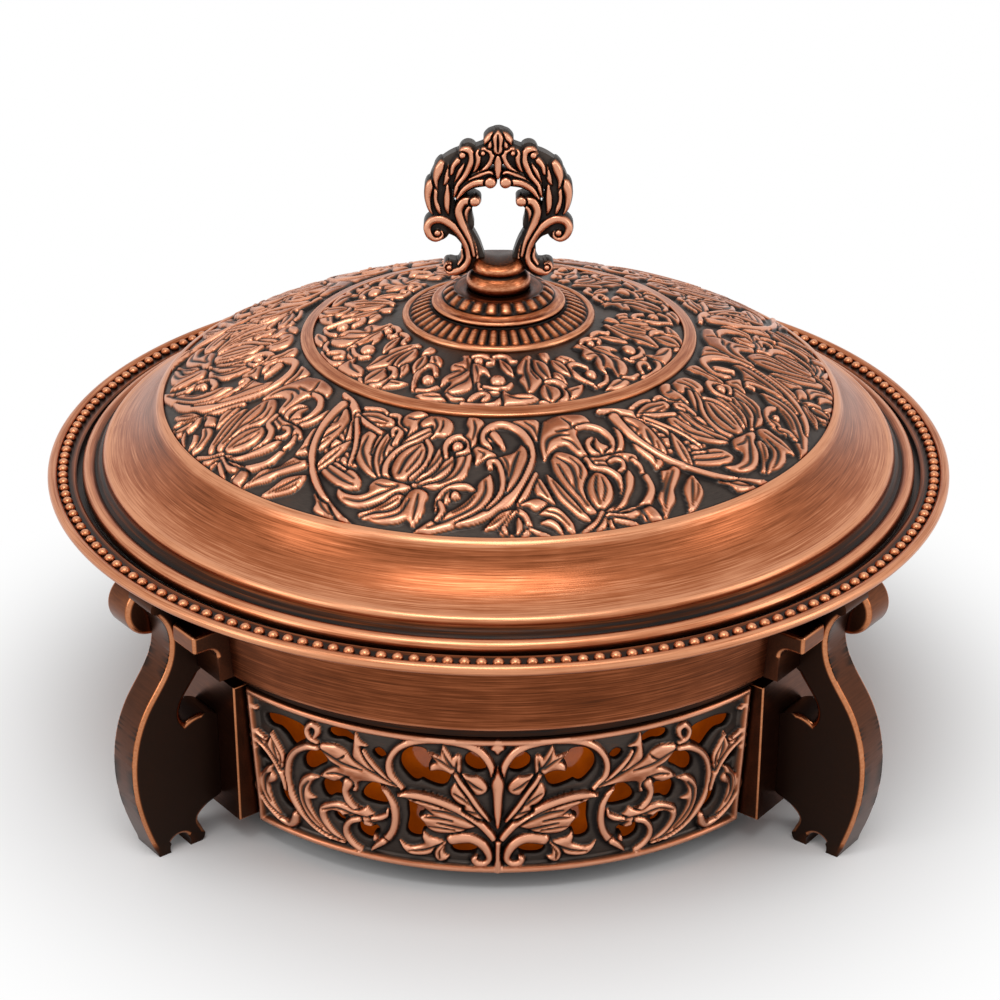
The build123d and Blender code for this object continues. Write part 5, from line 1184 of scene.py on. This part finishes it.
def roundedCasting(node, width, keepEdge, tone=0.36, segments=4):
    bm = bmesh.new()
    bm.from_mesh(cadNodes[node].data)
    bmesh.ops.remove_doubles(bm, verts=bm.verts, dist=2e-6)
    bmesh.ops.dissolve_limit(bm, angle_limit=math.radians(0.6), verts=bm.verts, edges=bm.edges)
    outward, sideways = cornerFrame(node)
    chosen = []
    for e in bm.edges:
        if len(e.link_faces) == 2 and e.calc_face_angle(0) > math.radians(corner["sharpFrom"]):
            middle = (e.verts[0].co + e.verts[1].co) / 2 / mm
            if keepEdge(middle.dot(outward), middle.dot(sideways), middle.z):
                chosen.append(e)
    made = bmesh.ops.bevel(bm, geom=chosen, offset=width * mm, offset_type="OFFSET", segments=segments, profile=0.5,
                           affect="EDGES", material=-1, clamp_overlap=False, loop_slide=True)
    bevelFaces = set(made["faces"])
    layer = bm.verts.layers.float.new("wearAndPaintedLight")
    for v in bm.verts:
        around = [f in bevelFaces for f in v.link_faces]
        # outward faces lighter and side faces left dark: partly rubbing, partly painted shade on the side faces
        plain = tone + corner["frontWear"] * max(0, v.normal.dot(outward))
        v[layer] = corner["edgeWearAndHighlight"] if around and all(around) else plain
    bmesh.ops.triangulate(bm, faces=[f for f in bm.faces if len(f.verts) > 4])
    spec = {**corner, "nodes": [node]}
    piece = finishPiece(node + "_cast", bm, spec, castCopper, 35)
    for f in piece.data.polygons:
        f.use_smooth = abs(f.normal.dot(sideways)) < corner["flatFrom"]
    piece.modifiers.new("evenNormals", "WEIGHTED_NORMAL").keep_sharp = True
    return piece


for place in ("front_left", "front_right", "rear_left", "rear_right"):
    roundedCasting(f"leg_{place}", 2.0, lambda out, side, z: abs(side) > 8.5 and 4 < z < 116.5 and out > 166, 0.26)
    roundedCasting(f"mounting_block_{place}", 0.9, lambda out, side, z: abs(side) > 6 and out > 150)
    roundedCasting(f"bracket_{place}", 1.6, lambda out, side, z: out > 167)
    roundedCasting(f"scroll_roll_{place}", 2.2, lambda out, side, z: out > 167)
print("corner castings rounded")

# Parts under the dish keep their solids and get their finish

plainParts = {"burner_shelf": castCopper, "burner_seat_ring": castCopper, "burner_cup": satinSteel,
              "burner_top_plate": satinSteel, "wick_pad": wickFibre, "snuffer": satinSteel,
              "snuffer_pivot": satinSteel, "handle_stud": satinSteel, "stud_washer": satinSteel,
              "stud_nut": satinSteel, "leg_screws": satinSteel, "block_screws": satinSteel,
              "lid_locating_ring": turnedCopper}
for node, material in plainParts.items():
    mesh = cadNodes[node].data
    mesh.materials.clear()
    mesh.materials.append(material)

# Floor, light and camera

room = {"floorSize": 14.0, "worldLight": 0.5, "fadeFrom": 0.16, "fadeTo": 0.31}


def whiteToEyes(tree):
    # 1 for rays from the camera, from a gloss or through glass
    path = addNode(tree, "ShaderNodeLightPath").outputs
    first = addNode(tree, "ShaderNodeMath", links={0: path["Is Camera Ray"], 1: path["Is Glossy Ray"]},
                    operation="MAXIMUM").outputs[0]
    return addNode(tree, "ShaderNodeMath", links={0: first, 1: path["Is Transmission Ray"]},
                   operation="MAXIMUM").outputs[0]


floorMaterial, tree = newMaterial("pale_floor")
matt = addNode(tree, "ShaderNodeBsdfDiffuse", {"Color": linearColour("f4f4f4")}).outputs[0]
white = addNode(tree, "ShaderNodeEmission", {"Color": (1, 1, 1, 1), "Strength": 1.0}).outputs[0]
place = addNode(tree, "ShaderNodeTexCoord").outputs["Object"]
reach = addNode(tree, "ShaderNodeVectorMath", links={0: place}, operation="LENGTH").outputs["Value"]
fade = addNode(tree, "ShaderNodeMapRange", {1: room["fadeFrom"], 2: room["fadeTo"], 3: 0.0, 4: 1.0}, {0: reach},
               interpolation_type="SMOOTHSTEP").outputs[0]
seen = addNode(tree, "ShaderNodeMath", links={0: fade, 1: whiteToEyes(tree)}, operation="MULTIPLY").outputs[0]
mixed = addNode(tree, "ShaderNodeMixShader", links={0: seen, 1: matt, 2: white}).outputs[0]
addNode(tree, "ShaderNodeOutputMaterial", links={0: mixed})

bm = bmesh.new()
bmesh.ops.create_grid(bm, x_segments=8, y_segments=8, size=room["floorSize"] / 2)
floorMesh = bpy.data.meshes.new("studio_floor")
bm.to_mesh(floorMesh)
bm.free()
floorMesh.materials.append(floorMaterial)
studioFloor = bpy.data.objects.new("studio_floor", floorMesh)
bpy.context.scene.collection.objects.link(studioFloor)

world = bpy.data.worlds.new("studio_light")
world.use_nodes = True
bpy.context.scene.world = world
tree = world.node_tree
tree.nodes.clear()
soft = addNode(tree, "ShaderNodeBackground", {"Color": (1, 1, 1, 1), "Strength": room["worldLight"]}).outputs[0]
bright = addNode(tree, "ShaderNodeBackground", {"Color": (1, 1, 1, 1), "Strength": 1.0}).outputs[0]
mixed = addNode(tree, "ShaderNodeMixShader", links={0: whiteToEyes(tree), 1: soft, 2: bright}).outputs[0]
addNode(tree, "ShaderNodeOutputWorld", links={0: mixed})


def addLamp(name, place, target, size, watts):
    light = bpy.data.lights.new(name, "AREA")
    light.shape = "RECTANGLE"
    light.size, light.size_y = size
    light.energy = watts
    lamp = bpy.data.objects.new(name, light)
    bpy.context.scene.collection.objects.link(lamp)
    lamp.location = place
    lamp.rotation_euler = (Vector(target) - Vector(place)).to_track_quat("-Z", "Y").to_euler()


addLamp("top_softbox", (-0.1, -0.75, 1.85), (0, 0, 0.1), (1.1, 0.7), 12)
addLamp("left_softbox", (-1.7, -0.9, 1.1), (0, 0, 0.12), (0.7, 1.3), 8)
addLamp("right_softbox", (1.8, -0.5, 0.9), (0, 0, 0.12), (0.6, 1.3), 6)

cameraSpec = {"place": (0, -1.04174, 0.63132), "target": (0, 0, 0.10908), "lens": 92.49, "shift": 0.0015}
camera = bpy.data.objects.new("camera", bpy.data.cameras.new("camera"))
bpy.context.scene.collection.objects.link(camera)
camera.data.lens = cameraSpec["lens"]
camera.data.sensor_width = 36
camera.data.shift_x = cameraSpec["shift"]
camera.data.dof.use_dof = False
camera.location = cameraSpec["place"]
camera.rotation_euler = (Vector(cameraSpec["target"]) - Vector(cameraSpec["place"])).to_track_quat("-Z", "Y").to_euler()
bpy.context.scene.camera = camera
bpy.context.scene.view_settings.view_transform = "Standard"
print("floor, lamps and camera set")
